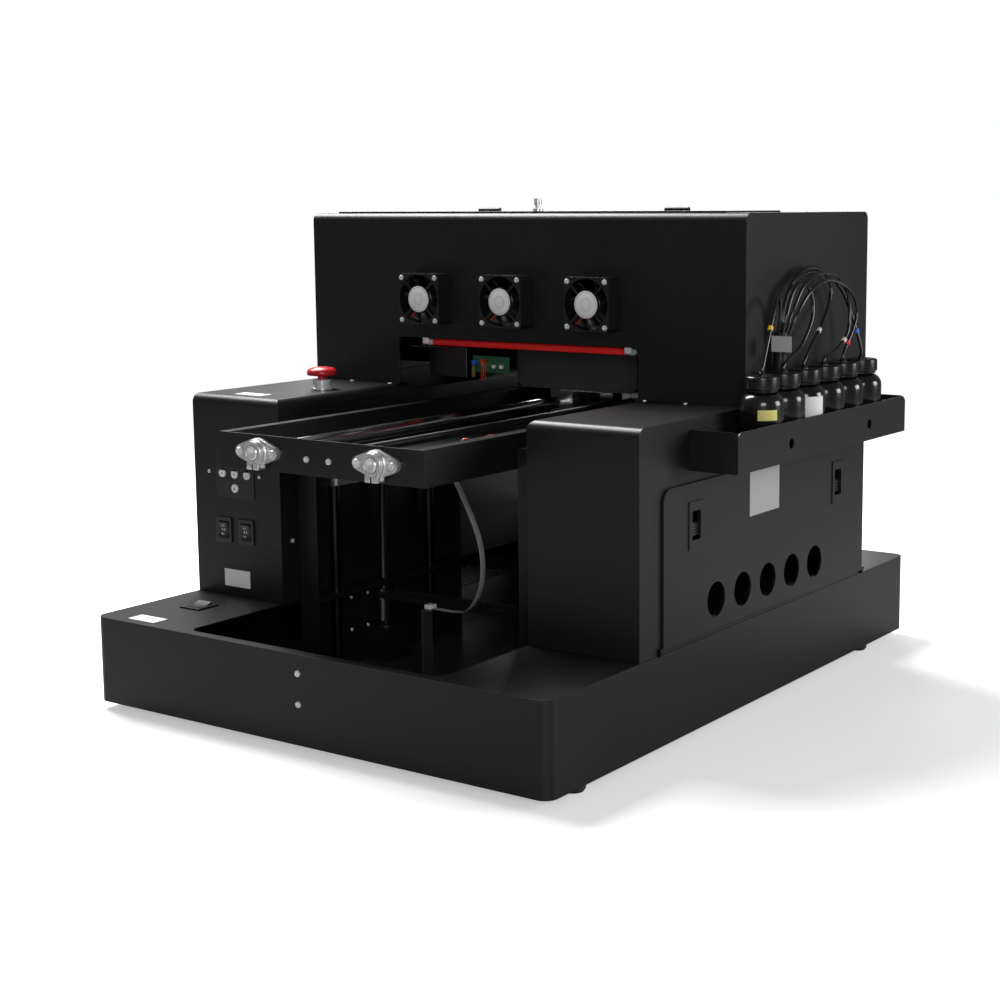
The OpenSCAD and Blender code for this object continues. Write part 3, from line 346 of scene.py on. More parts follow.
# making pieces
def makePiece(name, mesh, body, coatName, replaced=(), sharp=35, smooth=True):
    # mesh is a bmesh in metres, in the machine's frame
    data = bpy.data.meshes.new(name)
    mesh.to_mesh(data)
    mesh.free()
    for coat in ([coatName] if isinstance(coatName, str) else coatName):
        data.materials.append(finish[coat])
    if smooth:
        data.shade_smooth()
        data.set_sharp_from_angle(angle=math.radians(sharp))
    piece = bpy.data.objects.new(name, data)
    bpy.context.scene.collection.objects.link(piece)
    if body:
        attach(piece, body)
    if replaced:
        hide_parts(*replaced)
    return piece


def addBlock(mesh, low, high, round=0.0, steps=2):
    # a block between two corners given in millimetres, its edges rounded
    a, b = place(*low), place(*high)
    made = bmesh.ops.create_cube(mesh, size=1)["verts"]
    bmesh.ops.scale(mesh, vec=b - a, verts=made)
    bmesh.ops.translate(mesh, vec=(a + b) / 2, verts=made)
    if round:
        edges = list({e for v in made for e in v.link_edges})
        bmesh.ops.bevel(mesh, geom=edges, offset=round / 1000, offset_type="OFFSET", segments=steps, profile=0.5,
                        affect="EDGES", material=-1, clamp_overlap=True)
    return made


def addLathe(mesh, profile, centre, axis="Z", steps=40):
    # profile is (radius, height) in millimetres, turned about an axis through centre
    start = [mesh.verts.new((r / 1000, 0, h / 1000)) for r, h in profile]
    edges = [mesh.edges.new(pair) for pair in zip(start, start[1:])]
    turned = bmesh.ops.spin(mesh, geom=start + edges, cent=(0, 0, 0), axis=(0, 0, 1), angle=math.tau, steps=steps,
                            use_merge=True, use_normal_flip=False, use_duplicate=False)
    verts = list({v for v in turned["geom_last"] if isinstance(v, bmesh.types.BMVert)} | set(start))
    reached, queue = set(verts), list(verts)
    while queue:
        for edge in queue.pop().link_edges:
            for v in edge.verts:
                if v not in reached:
                    reached.add(v)
                    queue.append(v)
    ring = list(reached)
    if axis != "Z":
        spinTo = {"X": Matrix.Rotation(math.pi / 2, 3, "Y"), "Y": Matrix.Rotation(-math.pi / 2, 3, "X"),
                  "-Y": Matrix.Rotation(math.pi / 2, 3, "X")}[axis]
        bmesh.ops.rotate(mesh, cent=(0, 0, 0), matrix=spinTo, verts=ring)
    bmesh.ops.translate(mesh, vec=centre if isinstance(centre, Vector) else place(*centre), verts=ring)
    bmesh.ops.remove_doubles(mesh, verts=ring, dist=0.000002)
    return [v for v in ring if v.is_valid]


def outward(mesh):
    bmesh.ops.recalc_face_normals(mesh, faces=mesh.faces)
    return mesh


def cadCopy(node):
    mesh = bmesh.new()
    mesh.from_mesh(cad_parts[node].data)
    bmesh.ops.remove_doubles(mesh, verts=mesh.verts, dist=0.00001)
    bmesh.ops.dissolve_limit(mesh, angle_limit=math.radians(0.6), use_dissolve_boundaries=False,
                             verts=mesh.verts, edges=mesh.edges)
    return mesh


def softenNode(node, body, coatName, width, segments=2, turn=30, bigEdge=None, bigWidth=0.0, paint=None):
    # the CAD shape with its folded and cut edges eased
    mesh = cadCopy(node)
    if bigEdge:
        chosen = [e for e in mesh.edges if len(e.link_faces) == 2 and e.calc_face_angle(0) > math.radians(turn)
                  and bigEdge(e)]
        bmesh.ops.bevel(mesh, geom=chosen, offset=bigWidth / 1000, offset_type="OFFSET", segments=4, profile=0.5,
                        affect="EDGES", material=-1, clamp_overlap=True)
    chosen = [e for e in mesh.edges if len(e.link_faces) == 2 and e.calc_face_angle(0) > math.radians(turn)]
    bmesh.ops.bevel(mesh, geom=chosen, offset=width / 1000, offset_type="OFFSET", segments=segments, profile=0.5,
                    affect="EDGES", material=-1, clamp_overlap=True)
    if paint:
        for side in mesh.faces:
            side.material_index = paint(side.calc_center_median())
    piece = makePiece(node + "_skin", mesh, body, coatName, (node,), 40)
    piece.modifiers.new("evenShading", "WEIGHTED_NORMAL").keep_sharp = True
    return piece


def addTube(name, points, radius, body, coatName, sides=4):
    # a smooth round line through points given in millimetres
    line = bpy.data.curves.new(name, "CURVE")
    line.dimensions, line.bevel_depth, line.bevel_resolution = "3D", radius / 1000, sides
    line.use_fill_caps, line.resolution_u = True, 8
    spline = line.splines.new("POLY")
    path = smoothPath(points, 6)
    spline.points.add(len(path) - 1)
    for k, point in enumerate(path):
        spline.points[k].co = (*place(*point), 1)
    line.materials.append(finish[coatName])
    spline.use_smooth = True
    made = bpy.data.objects.new(name, line)
    bpy.context.scene.collection.objects.link(made)
    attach(made, body)
    return made


def smoothPath(points, steps):
    # an even curve through every point
    path = []
    for k in range(len(points) - 1):
        a, b, c, d = (Vector(points[min(max(k + i, 0), len(points) - 1)]) for i in (-1, 0, 1, 2))
        for s in range(steps):
            t = s / steps
            path.append(0.5 * (2 * b + (c - a) * t + (2 * a - 5 * b + 4 * c - d) * t ** 2
                               + (3 * b - a - 3 * c + d) * t ** 3))
    return path + [Vector(points[-1])]


def pathLength(path):
    return sum((b - a).length for a, b in zip(path, path[1:]))


# ink tubes
inkTubes = {"bottles": 6, "bottleX": 639.5, "firstY": 349.5, "pitch": 48.2, "capTop": 374, "radius": 1.95}
shelfCorner = Vector((612, 250, 284))
tubeRoutes = [
    [(-8, 167.5, 77.2), (1, 167.5, 77.7), (7.5, 167.5, 87), (8, 167, 114), (14, 164, 144), (17, 158, 164),
     (20, 146, 168), (24, 132, 156), (27, 114, 128), (27.5, 102, 102)],
    [(-8, 167.5, 72.8), (3, 167.5, 73.3), (12, 167.5, 86), (13, 167.3, 114), (19, 167.5, 144), (20, 182, 172),
     (20.5, 200, 182), (24.5, 216, 171), (26.5, 216, 144), (27.5, 190, 116), (27.5, 158, 102)],
    [(-8, 171.8, 77.2), (1, 171.8, 77.7), (7.5, 171.8, 88), (8, 171.8, 114), (11, 174, 144), (12.5, 190, 178),
     (13, 228, 197), (14, 262, 194), (16, 280, 178), (18, 276, 160), (22, 250, 136), (26, 216, 114), (27.5, 199, 100)],
    [(-8, 171.8, 72.8), (3, 171.8, 73.3), (12, 171.8, 87), (13.5, 171.8, 114), (22, 173, 144), (26, 190, 174),
     (26, 224, 190), (26, 266, 190), (26.5, 296, 175), (28, 306, 152), (29, 301, 124), (28.5, 278, 107),
     (27.5, 252, 99)],
    [(-8, 176.1, 72.8), (3, 176.1, 73.3), (12, 176.1, 88), (14, 176.1, 114), (25, 178, 144), (30.5, 200, 171),
     (31, 240, 184), (31, 278, 179), (31.5, 306, 166), (32, 318, 147), (31, 311, 127), (29, 298, 108)],
    [(-8, 176.1, 77.2), (1, 176.1, 77.7), (7.5, 176.1, 89), (8, 176.8, 114), (8, 182, 146), (8, 202, 180),
     (8, 246, 193), (10, 286, 188), (15, 314, 168), (21, 330, 136), (26, 338.5, 110)]]
tubePaths = []
for k, route in enumerate(tubeRoutes):
    points = [Vector(p) + shelfCorner for p in route]
    for rise in (6, 0):
        points.append(Vector((inkTubes["bottleX"], inkTubes["firstY"] + k * inkTubes["pitch"], inkTubes["capTop"]
                              + rise)))
    tube = addTube("inkTube_%d" % (k + 1), points, inkTubes["radius"], "machine", "tubePlastic", 5)
    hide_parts("ink_tubes")
    path = smoothPath(points, 6)
    tubePaths.append(path)
    place(*path[0])
    pathLength(path) / 1000
print("stage: ink tubes", [round(pathLength(p)) for p in tubePaths])

floor = bmesh.new()
bmesh.ops.create_grid(floor, x_segments=1, y_segments=1, size=studio["floorSize"] / 2)
floorMesh = bpy.data.meshes.new("floor")
floor.to_mesh(floorMesh)
floor.free()
floorMesh.materials.append(finish["paleFloor"])
floorPiece = bpy.data.objects.new("floor", floorMesh)
bpy.context.scene.collection.objects.link(floorPiece)

# every CAD node gets a finish, also those that a piece stands for
nodeFinish = {
    "base_floor": "floorSteel", "rubber_feet": "footRubber", "rear_panel": "blackPowder",
    "estop_body": "zincSteel", "panel_plate": "panelFilm", "rocker_bezels": "satinPlastic",
    "lift_columns": "innerBlack", "lift_guide_rods": "darkShaft", "lift_belt": "toothedBelt",
    "lift_motor": "motorBlack", "gantry_beam": "darkAlloy", "carriage_belt": "toothedBelt",
    "carriage_motor": "motorBlack", "capping_station": "capGrey", "control_board": "circuitBoard",
    "power_supply": "sheetSteel", "guard_bar": "barRed", "wall_fittings": "satinPlastic",
    "hinge_pins": "darkShaft", "bed_rods": "railChrome", "lift_carriages": "alloy",
    "platen_motor": "motorBlack", "platen_plate": "darkAlloy", "platen_bearings": "alloy",
    "carriage_body": "slideGrey", "print_head": "alloy", "lift_screw_left": "screwThread",
    "lift_screw_right": "screwThread", "carriage_pulley": "alloy", "carriage_idler": "alloy",
    "platen_screw": "screwThread", "power_rocker": "satinPlastic", "panel_rocker_left": "satinPlastic",
    "panel_rocker_right": "satinPlastic", "latch_front": "satinPlastic", "latch_rear": "satinPlastic",
    "ribbon_cable": "braidedRibbon", "button_low": "buttonWhite", "button_left": "buttonWhite",
    "button_mid": "buttonWhite", "button_right": "buttonWhite", "case_screws": "zincSteel",
    "bed_bolts": "zincSteel", "rod_supports": "castAlloy", "fan_frames": "fanPlastic",
    "fan_rotor_left": "fanPlastic", "fan_rotor_mid": "fanPlastic", "fan_rotor_right": "fanPlastic",
    "bottle_caps": "capPlastic", "ink_bottles": "bottlePlastic", "estop_button": "stopRed",
    "base_shell": "blackPowder", "left_tower": "blackPowder", "right_tower": "blackPowder",
    "hood_shell": "blackPowder", "top_lid": "blackPowder", "side_door": "blackPowder",
    "ink_shelf": "blackPowder", "bed_frame": "bedBlack"}
for node, coatName in nodeFinish.items():
    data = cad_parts[node].data
    data.materials.clear()
    data.materials.append(finish[coatName])

# folded steel housing
housing = {"edge": 0.8, "deckBend": 2.6, "deckZ": 105}


def deckEdge(edge):
    low, high = place(0, 0, housing["deckZ"] - 0.5).z, place(0, 0, housing["deckZ"] + 0.5).z
    if not all(low < v.co.z < high for v in edge.verts):
        return False
    rim = [min(abs(v.co.x - cadLeft.x), abs(v.co.x - cadRight.x), abs(v.co.y - cadLeft.y), abs(v.co.y - cadRight.y))
           for v in edge.verts]
    return max(rim) < 0.0145 and abs(edge.calc_face_angle(0) - math.pi / 2) < 0.2


cadLeft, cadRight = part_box("base_shell")
softenNode("base_shell", "machine", "blackPowder", housing["edge"], bigEdge=deckEdge,
           bigWidth=housing["deckBend"])
for node in ("left_tower", "right_tower", "hood_shell", "ink_shelf", "rear_panel", "lift_columns"):
    softenNode(node, "machine", "blackPowder", housing["edge"])
lidKnob = {"x": 306, "y": 416, "reach": 7.5, "z": 544.3}
knobSpot = place(lidKnob["x"], lidKnob["y"], lidKnob["z"])


def lidPaint(spot):
    return int(spot.z > knobSpot.z and (spot.xy - knobSpot.xy).length < lidKnob["reach"] / 1000)


softenNode("top_lid", "top_lid", ("blackPowder", "turnedSteel"), 0.45, paint=lidPaint)
softenNode("side_door", "side_door", "blackPowder", 0.5)
softenNode("bed_frame", "bed", "bedBlack", 0.8)
support = {"x": (226, 386), "z": 300.5, "ear": 22, "earRound": 7, "waist": 14.6, "plate": 5.6,
           "walls": ((34, -1), (762, 1)),
           "screws": 23, "boss": [(8.1, 5), (14.4, 5), (14.4, 6), (13.5, 6.9), (13.1, 9.2), (12.2, 9.8), (12.2, 11.2),
                                  (11.6, 11.9),
                                  (8.7, 11.9), (8.1, 11.3), (8.1, 5)],
           "earBoss": [(2.9, 5), (5.6, 5), (5.2, 6.1), (4.6, 6.3), (2.9, 6.3), (2.9, 5)],
           "rodEnd": [(0, 0.5), (1.8, 0.5), (2.4, 0.9), (6.4, 0.9), (7.3, 0.1), (7.3, -2), (0, -2)], "rodFront": 22}
castings, castSlotShade = bmesh.new(), bmesh.new()
for x in support["x"]:
    for wall, out in support["walls"]:
        shape = []
        for shift, r in ((-support["ear"], support["earRound"]), (0, support["waist"]),
                         (support["ear"], support["earRound"])):
            for deep in (0, support["plate"]):
                turned = Matrix.Translation(place(x + shift, wall + out * deep,
                                                  support["z"])) @ Matrix.Rotation(math.pi / 2, 4, "X")
                shape += bmesh.ops.create_circle(castings, radius=r / 1000, segments=36, matrix=turned)["verts"]
        hull = bmesh.ops.convex_hull(castings, input=shape)
        inner = [g for g in hull["geom_interior"] + hull["geom_unused"] if isinstance(g, bmesh.types.BMVert)]
        bmesh.ops.delete(castings, geom=list(set(inner)), context="VERTS")
        facing = "-Y" if out < 0 else "Y"
        addLathe(castings, support["boss"], (x, wall, support["z"]), facing, 56)
        for shift in (-support["screws"], support["screws"]):
            addLathe(castings, support["earBoss"], (x + shift, wall, support["z"]), facing, 32)
        near, far = sorted((wall + out * 0.2, wall + out * 11.6))
        addBlock(castings, (x - 8.6, near, support["z"] - 17.8), (x + 8.6, far, support["z"] - 9.5), 1.3, 3)
        # dark blocks fill the castings' slits: painted shade standing in for their depth
        near, far = sorted((wall + out * 5.8, wall + out * 11.75))
        addBlock(castSlotShade, (x - 0.75, near, support["z"] - 17.95), (x + 0.75, far, support["z"] - 9))
makePiece("support_castings", outward(castings), "bed", "castAlloy", ("rod_supports",), 30)
makePiece("support_slot_shade", outward(castSlotShade), "bed", "innerBlack", smooth=False)
softenNode("platen_plate", "platen", "darkAlloy", 0.6)
latch = {"y": {"latch_front": 256, "latch_rear": 583}, "ribs": 4, "ribLow": 217.6, "ribPitch": 3.1, "ribHigh": 1.6}
for node, y in latch["y"].items():
    slider = bmesh.new()
    addBlock(slider, (604, y - 7.9, 215), (608.8, y + 7.9, 252), 0.5)
    addBlock(slider, (608, y - 7.7, 216), (613, y + 7.7, 230), 0.8)
    for k in range(latch["ribs"]):
        low = latch["ribLow"] + latch["ribPitch"] * k
        addBlock(slider, (612.4, y - 6.6, low), (614.3, y + 6.6, low + latch["ribHigh"]), 0.5)
    makePiece(node + "_skin", slider, node, "satinPlastic", (node,))
# a dark plate closes the view through each latch's slot: painted shade standing in for the dark space behind the door
slotShadePlate = bmesh.new()
for y in latch["y"].values():
    addBlock(slotShadePlate, (601.6, y - 17, 211), (603.2, y + 34, 256), 0.4)
makePiece("latch_slot_shade", slotShadePlate, "side_door", "innerBlack")
for node in ("fan_frames", "rocker_bezels", "wall_fittings"):
    softenNode(node, "machine", {"fan_frames": "fanPlastic"}.get(node, "satinPlastic"), 0.45)
for node in ("power_rocker", "panel_rocker_left", "panel_rocker_right"):
    softenNode(node, node, "satinPlastic", 0.5)
softenNode("carriage_body", "carriage", "slideGrey", 1.5, 3)
print("stage: housing")


# screws
headShape = {"hole": 0.42, "crown": 0.62}


def addScrew(mesh, x, y, z, axis, radius, height):
    r, h = radius, height
    addLathe(mesh, [(0, h * 0.5), (r * headShape["hole"], h * 0.5), (r * 0.46, h * 0.96), (r * headShape["crown"], h),
                    (r * 0.86, h * 0.8), (r, h * 0.35), (r, 0), (0, 0)], (x, y, z), axis, 18)


fan = {"x": (187, 306, 425), "z": 442, "front": 339, "hub": 16, "tip": 27.6, "blades": 7, "twist": 0.62, "lean": 0.25,
       "screwOut": 25}
# each row: place, the way it faces, radius, height
housingScrews = [row for z in (53, 85) for row in (((303, 0, z), "-Y", 3.5, 2), ((303, 790, z), "Y", 3.5, 2))]
housingScrews += [((x, 359, 337), "Z", 2.6, 1.4) for x in (62, 123, 489, 541)]
housingScrews += [((135, 171.5, z), "X", 2.6, 1.4) for z in (175, 307)]
housingScrews += [((x + sideX, fan["front"], fan["z"] + sideZ), "-Y", 3.1, 1.9) for x in fan["x"]
                  for sideX in (-fan["screwOut"], fan["screwOut"]) for sideZ in (-fan["screwOut"], fan["screwOut"])]
housingScrews += [((x, 662, 417), "Y", 2.6, 1.4) for x in (20, 220.5, 391.5, 592)]
screws = bmesh.new()
for spot, axis, radius, height in housingScrews:
    addScrew(screws, *spot, axis, radius, height)
makePiece("housing_screws", outward(screws), "machine", "zincSteel", ("case_screws",))
smallScrews = bmesh.new()
for x, z in ((56, 266), (23.6, 248), (103.5, 247.5)):
    addScrew(smallScrews, x, 154, z, "-Y", 2.1, 1.0)
for y, z in ((234, 176), (235, 78), (263, 92), (292, 92), (263, 53), (292, 53)):
    addScrew(smallScrews, 139, y, z, "X", 2.2, 1.0)
makePiece("small_screws", outward(smallScrews), "machine", "zincSteel")
bolts = bmesh.new()
for x in (291, 321):
    addScrew(bolts, x, 34, 297.5, "-Y", 3.4, 2.4)
for x in support["x"]:
    for ear in (-support["screws"], support["screws"]):
        addScrew(bolts, x + ear, 28, support["z"], "-Y", 4.2, 3)
    addScrew(bolts, x + 9, 28, 287, "X", 2.6, 2)
makePiece("tray_bolts", outward(bolts), "bed", "zincSteel", ("bed_bolts",))
rodEnds = bmesh.new()
for x in support["x"]:
    addLathe(rodEnds, support["rodEnd"], (x, support["rodFront"], support["z"]), "-Y", 32)
makePiece("rod_ends", outward(rodEnds), "bed", "turnedSteel")

# fans


def rotorMesh(x):
    mesh = bmesh.new()
    addLathe(mesh, [(0, 4), (14.6, 4), (16, 5.2), (16, 21), (14, 21), (14, 6), (3, 6), (3, 8), (0, 8)],
             (x, fan["front"], fan["z"]), "Y", 40)
    for k in range(fan["blades"]):
        grid = bmesh.ops.create_grid(mesh, x_segments=5, y_segments=4, size=0.5)["verts"]
        for v in grid:
            out, across = v.co.x + 0.5, v.co.y + 0.5
            r = (fan["hub"] - 0.6 + out * (fan["tip"] - fan["hub"] + 0.6)) / 1000
            a = math.tau * k / fan["blades"] + across * fan["twist"] + out * fan["lean"]
            v.co = place(x, fan["front"] + 5.6 + 14 * across - 2.4 * math.sin(math.pi * across),
                         fan["z"]) + Vector((r * math.cos(a), 0, r * math.sin(a)))
        walls = list({f for v in grid for f in v.link_faces})
        bmesh.ops.solidify(mesh, geom=walls, thickness=0.0009)
    return outward(mesh)


for name, x in zip(("left", "mid", "right"), fan["x"]):
    rotor = "fan_rotor_" + name
    makePiece(rotor + "_blades", rotorMesh(x), rotor, "fanPlastic", (rotor,), 50)
hubLabels, hubRings = bmesh.new(), bmesh.new()
for x in fan["x"]:
    addLathe(hubLabels, [(0, 0.16), (14.9, 0.16), (15.2, 0.0), (0, 0)], (x, fan["front"], fan["z"]), "-Y", 40)
    for r in (13.8, 6.4):
        addLathe(hubRings, [(r - 0.35, 0.1), (r - 0.3, 0.24), (r, 0.24), (r + 0.05, 0.1)],
                 (x, fan["front"], fan["z"]), "-Y", 40)
makePiece("fan_labels", outward(hubLabels), "machine", "labelWhite")
makePiece("fan_label_rings", hubRings, "machine", "wireGrey")
for k, x in enumerate(fan["x"]):
    for shift, coatName in ((0, "wireRed"), (2.2, "wireBlack")):
        addTube("fanLead_%d_%s" % (k + 1, coatName),
                [(x - 4, 345, 431 + shift), (x - 12, 344.5, 424 + shift), (x - 19, 345, 419.5 + shift),
                (x - 24, 348, 417 + shift), (x - 26.5, 356, 416 + shift)], 0.75, "machine", coatName, 3)
print("stage: fans and screws")

# controls
# emergency stop; its profiles are (radius, height above the bench)
stop = {"place": (95, 270, 0), "steps": 64,
        "crown": [(0, 340), (4.9, 340), (4.9, 353), (13.4, 353), (16.5, 353.5), (17.4, 354.9), (17.4, 357.4),
                  (16.7, 359.4),
                  (14.4, 361.3), (12.6, 362.0), (12.0, 361.7), (11.2, 362.3), (7, 363.1), (0, 363.5)],
        "collar": [(5.1, 313), (7.9, 313), (7.9, 331), (11, 331), (11, 335), (7.9, 335), (7.9, 337), (12.5, 337),
                   (12.5, 338.9),
                   (11.9, 339.4), (10.5, 339.6), (10.5, 341.4), (10.0, 341.7), (10.0, 342.5), (10.5, 342.8),
                   (10.5, 347.7),
                   (9.9, 348.5), (5.1, 348.5), (5.1, 313)]}
crown = bmesh.new()
addLathe(crown, stop["crown"], stop["place"], "Z", stop["steps"])
makePiece("stop_crown", outward(crown), "estop_button", "stopRed", ("estop_button",), 50)
collar = bmesh.new()
addLathe(collar, stop["collar"], stop["place"], "Z", stop["steps"])
makePiece("stop_collar", outward(collar), "machine", "turnedSteel", ("estop_body",), 35)
# three buttons are cut flat on top, the low one is round
buttons = {"left": (46.1, 248, math.pi), "mid": (65.5, 248, math.pi / 2), "right": (84.9, 248, 0),
           "low": (65.5, 231.3, 0)}
capProfile = [(0, 2.4), (4.1, 2.4), (4.8, 2.1), (5, 1.5), (5, -3.4), (7, -3.4), (7, -4.8), (0, -4.8)]
for name, (x, z, markTurn) in buttons.items():
    cap = bmesh.new()
    addLathe(cap, capProfile, (x, 154, z), "-Y", 40)
    if name != "low":
        cut = bmesh.ops.bisect_plane(cap, geom=cap.verts[:] + cap.edges[:] + cap.faces[:], dist=1e-7,
                                     plane_co=place(x, 154, z + 3.1),
                                     plane_no=(0, 0, 1), clear_outer=True)
        bmesh.ops.holes_fill(cap, edges=[e for e in cut["geom_cut"] if isinstance(e, bmesh.types.BMEdge)], sides=0)
    makePiece("button_cap_" + name, outward(cap), "button_" + name, "buttonWhite",
              ("button_" + name,), 40)
    mark = bmesh.new()
    bmesh.ops.create_circle(mark, cap_ends=True, radius=0.0016, segments=24 if name == "low" else 3,
                            matrix=Matrix.Translation(place(x, 151.5, z - 0.6)) @ Matrix.Rotation(math.pi / 2, 4, "X")
                            @ Matrix.Rotation(markTurn, 4, "Z"))
    makePiece("button_mark_" + name, mark, "button_" + name, "wireGrey", smooth=False)
rockerMarks = {"slope": 2 / 8.9, "front": 152.1, "x": (("left", 46), ("right", 81)), "z": 182, "line": 0.8}
for name, x in rockerMarks["x"]:
    marks = bmesh.new()
    for lift, corners, radius in ((5.4, 3, 2.9), (0, 24, 2.3), (-5.4, 3, 2.9)):
        tilt = math.copysign(math.atan(rockerMarks["slope"]), lift) if lift else 0
        spot = place(x, rockerMarks["front"] - rockerMarks["slope"] * abs(lift) - 0.14, rockerMarks["z"] + lift)
        ring = addLathe(marks, [(radius - rockerMarks["line"], 0), (radius - rockerMarks["line"], 0.16),
                                (radius, 0.16), (radius, 0)], Vector((0, 0, 0)), "Z", corners)
        turned = (Matrix.Translation(spot) @ Matrix.Rotation(math.pi / 2 - tilt, 4, "X")
                  @ Matrix.Rotation(math.copysign(math.pi / 2, lift), 4, "Z"))
        bmesh.ops.transform(marks, matrix=turned, verts=ring)
    makePiece("rocker_marks_" + name, marks, "panel_rocker_" + name, "labelWhite", smooth=False)
powerMark = bmesh.new()
bmesh.ops.create_circle(powerMark, cap_ends=True, radius=0.0022, segments=24,
                        matrix=Matrix.Translation(place(65, 99, 107.35)) @ Matrix.Rotation(math.radians(-4), 4, "X"))
makePiece("power_mark", powerMark, "power_rocker", "labelWhite", smooth=False)
print("stage: controls")

# red guard bar, from the CAD bar's own box
guard = {"inset": 0.0045, "endLength": 9, "overlap": 8, "thick": (4, 4.2)}
barLow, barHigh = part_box("guard_bar")
corner = place(0, 0, 0)
bx0, bx1, by, bz = ((v - c) * 1000 for v, c in ((barLow.x, corner.x), (barHigh.x, corner.x),
                                                (barHigh.y - guard["inset"], corner.y), (barLow.z + guard["inset"], 0)))
bar = bmesh.new()
addBlock(bar, (bx0 + guard["overlap"], by - guard["thick"][0], bz - guard["thick"][1]),
         (bx1 - guard["overlap"], by + guard["thick"][0], bz + guard["thick"][1]), 1.6, 3)
makePiece("guard_bar_skin", bar, "machine", "barRed", ("guard_bar",))
barEnds = bmesh.new()
for x in (bx0, bx1 - guard["endLength"]):
    addBlock(barEnds, (x, by - 3, bz - 3.4), (x + guard["endLength"], by + 3.4, bz + 3.4), 0.8)
    addBlock(barEnds, (x, by - 13, bz - 3.4), (x + guard["endLength"], by - 2, bz - 1), 0.6)
    addBlock(barEnds, (x, by - 13, bz - 3.4), (x + guard["endLength"], by - 10.6, bz + 18), 0.6)
makePiece("guard_bar_ends", barEnds, "machine", "turnedSteel")

# blank labels
labels = {"deck_label": ((40, 12, 105), (80, 32, 105.2), "labelWhite"),
          "tower_label": ((47, 174, 337), (89, 193, 337.2), "labelWhite"),
          "front_label": ((43.5, 153.8, 116), (84, 154, 136), "labelWhite")}
for name, (low, high, coatName) in labels.items():
    plate = bmesh.new()
    addBlock(plate, low, high)
    makePiece(name, plate, "machine", coatName, smooth=False)
plate = bmesh.new()
addBlock(plate, (615, 370, 219), (615.2, 437, 267))
makePiece("door_label", plate, "side_door", "labelGrey", smooth=False)

# ink bottles
bottle = {"radius": 23.7, "straight": 344, "shoulder": 13, "ribs": 54, "notch": 0.984,
          "gripLow": 0.3608, "gripHigh": 0.3716, "gripInner": 0.0184,
          "foot": [(0, 287.5), (19, 286), (22.4, 286.5), (23.7, 288.4)],
          "neck": [(15.2, 357), (15.2, 357.4), (17, 357.6), (17, 359.2), (15, 359.4), (15, 364), (0, 364)],
          "cap": [(15.2, 360.2), (18.0, 360), (18.4, 360.6), (18.6, 361.2), (18.6, 371.2), (18.3, 372.6), (17.4, 373.6),
                  (15.5, 374), (13.5, 374), (13, 373.6), (0, 373.6)],
          "nipple": [(2.0, 377.5), (3.0, 377.5), (3.4, 377), (3.4, 374.6), (5, 374.4), (5, 373.6), (2.0, 373.6)]}
shoulder = [(bottle["radius"] - bottle["shoulder"] + bottle["shoulder"] * math.cos(a),
             bottle["straight"] + bottle["shoulder"] * math.sin(a))
            for a in (math.radians(d) for d in range(0, 91, 10))]
bottleSkin, capSkin, nipples = bmesh.new(), bmesh.new(), bmesh.new()
for k in range(inkTubes["bottles"]):
    spot = (inkTubes["bottleX"], inkTubes["firstY"] + k * inkTubes["pitch"], 0)
    addLathe(bottleSkin, bottle["foot"] + shoulder + bottle["neck"], spot, "Z", 56)
    lid = addLathe(capSkin, bottle["cap"], spot, "Z", bottle["ribs"] * 2)
    middle = place(*spot)
    for v in lid:
        away = (v.co - middle).xy
        if bottle["gripLow"] < v.co.z < bottle["gripHigh"] and away.length > bottle["gripInner"]:
            notch = int(round(math.atan2(away.y, away.x) / math.tau * bottle["ribs"] * 2)) % 2
            v.co.xy = middle.xy + away * (bottle["notch"] if notch else 1.0)
    addLathe(nipples, bottle["nipple"], spot, "Z", 24)
makePiece("bottle_skins", outward(bottleSkin), "machine", "bottlePlastic", ("ink_bottles",), 50)
makePiece("cap_skins", outward(capSkin), "machine", "capPlastic", ("bottle_caps",), 30)
makePiece("cap_nipples", outward(nipples), "machine", "tubePlastic")


def wrapLabel(name, number, low, high, start, sweep, coatName):
    mesh, centre = bmesh.new(), place(inkTubes["bottleX"], inkTubes["firstY"] + number * inkTubes["pitch"], 0)
    reach = Vector(((bottle["radius"] + 0.12) / 1000, 0, 0))
    reach.rotate(Matrix.Rotation(math.radians(start), 3, "Z"))
    pair = [mesh.verts.new(centre + reach + Vector((0, 0, h / 1000))) for h in (low, high)]
    edge = mesh.edges.new(pair)
    bmesh.ops.spin(mesh, geom=pair + [edge], cent=centre, axis=(0, 0, 1), angle=math.radians(sweep), steps=10,
                   use_merge=False)
    mesh.normal_update()
    for face in mesh.faces:
        if face.normal.xy.dot((face.calc_center_median() - centre).xy) < 0:
            face.normal_flip()
    makePiece(name, mesh, "machine", coatName)


wrapLabel("bottle_label_1", 0, 329, 340, -72, 52, "labelYellow")
wrapLabel("bottle_label_3", 2, 322, 345, -64, 60, "labelWhite")

# tube sleeve, rings and tag
sleeve = {"radius": 7.6, "route": [(614, 421.8, 359), (618, 421.8, 361), (621, 421.8, 368), (622.4, 421.8, 380),
                                   (622.8, 421.8, 396), (623.4, 421.6, 414)]}
addTube("tubeSleeve", sleeve["route"], sleeve["radius"], "machine", "wireBlack", 8)
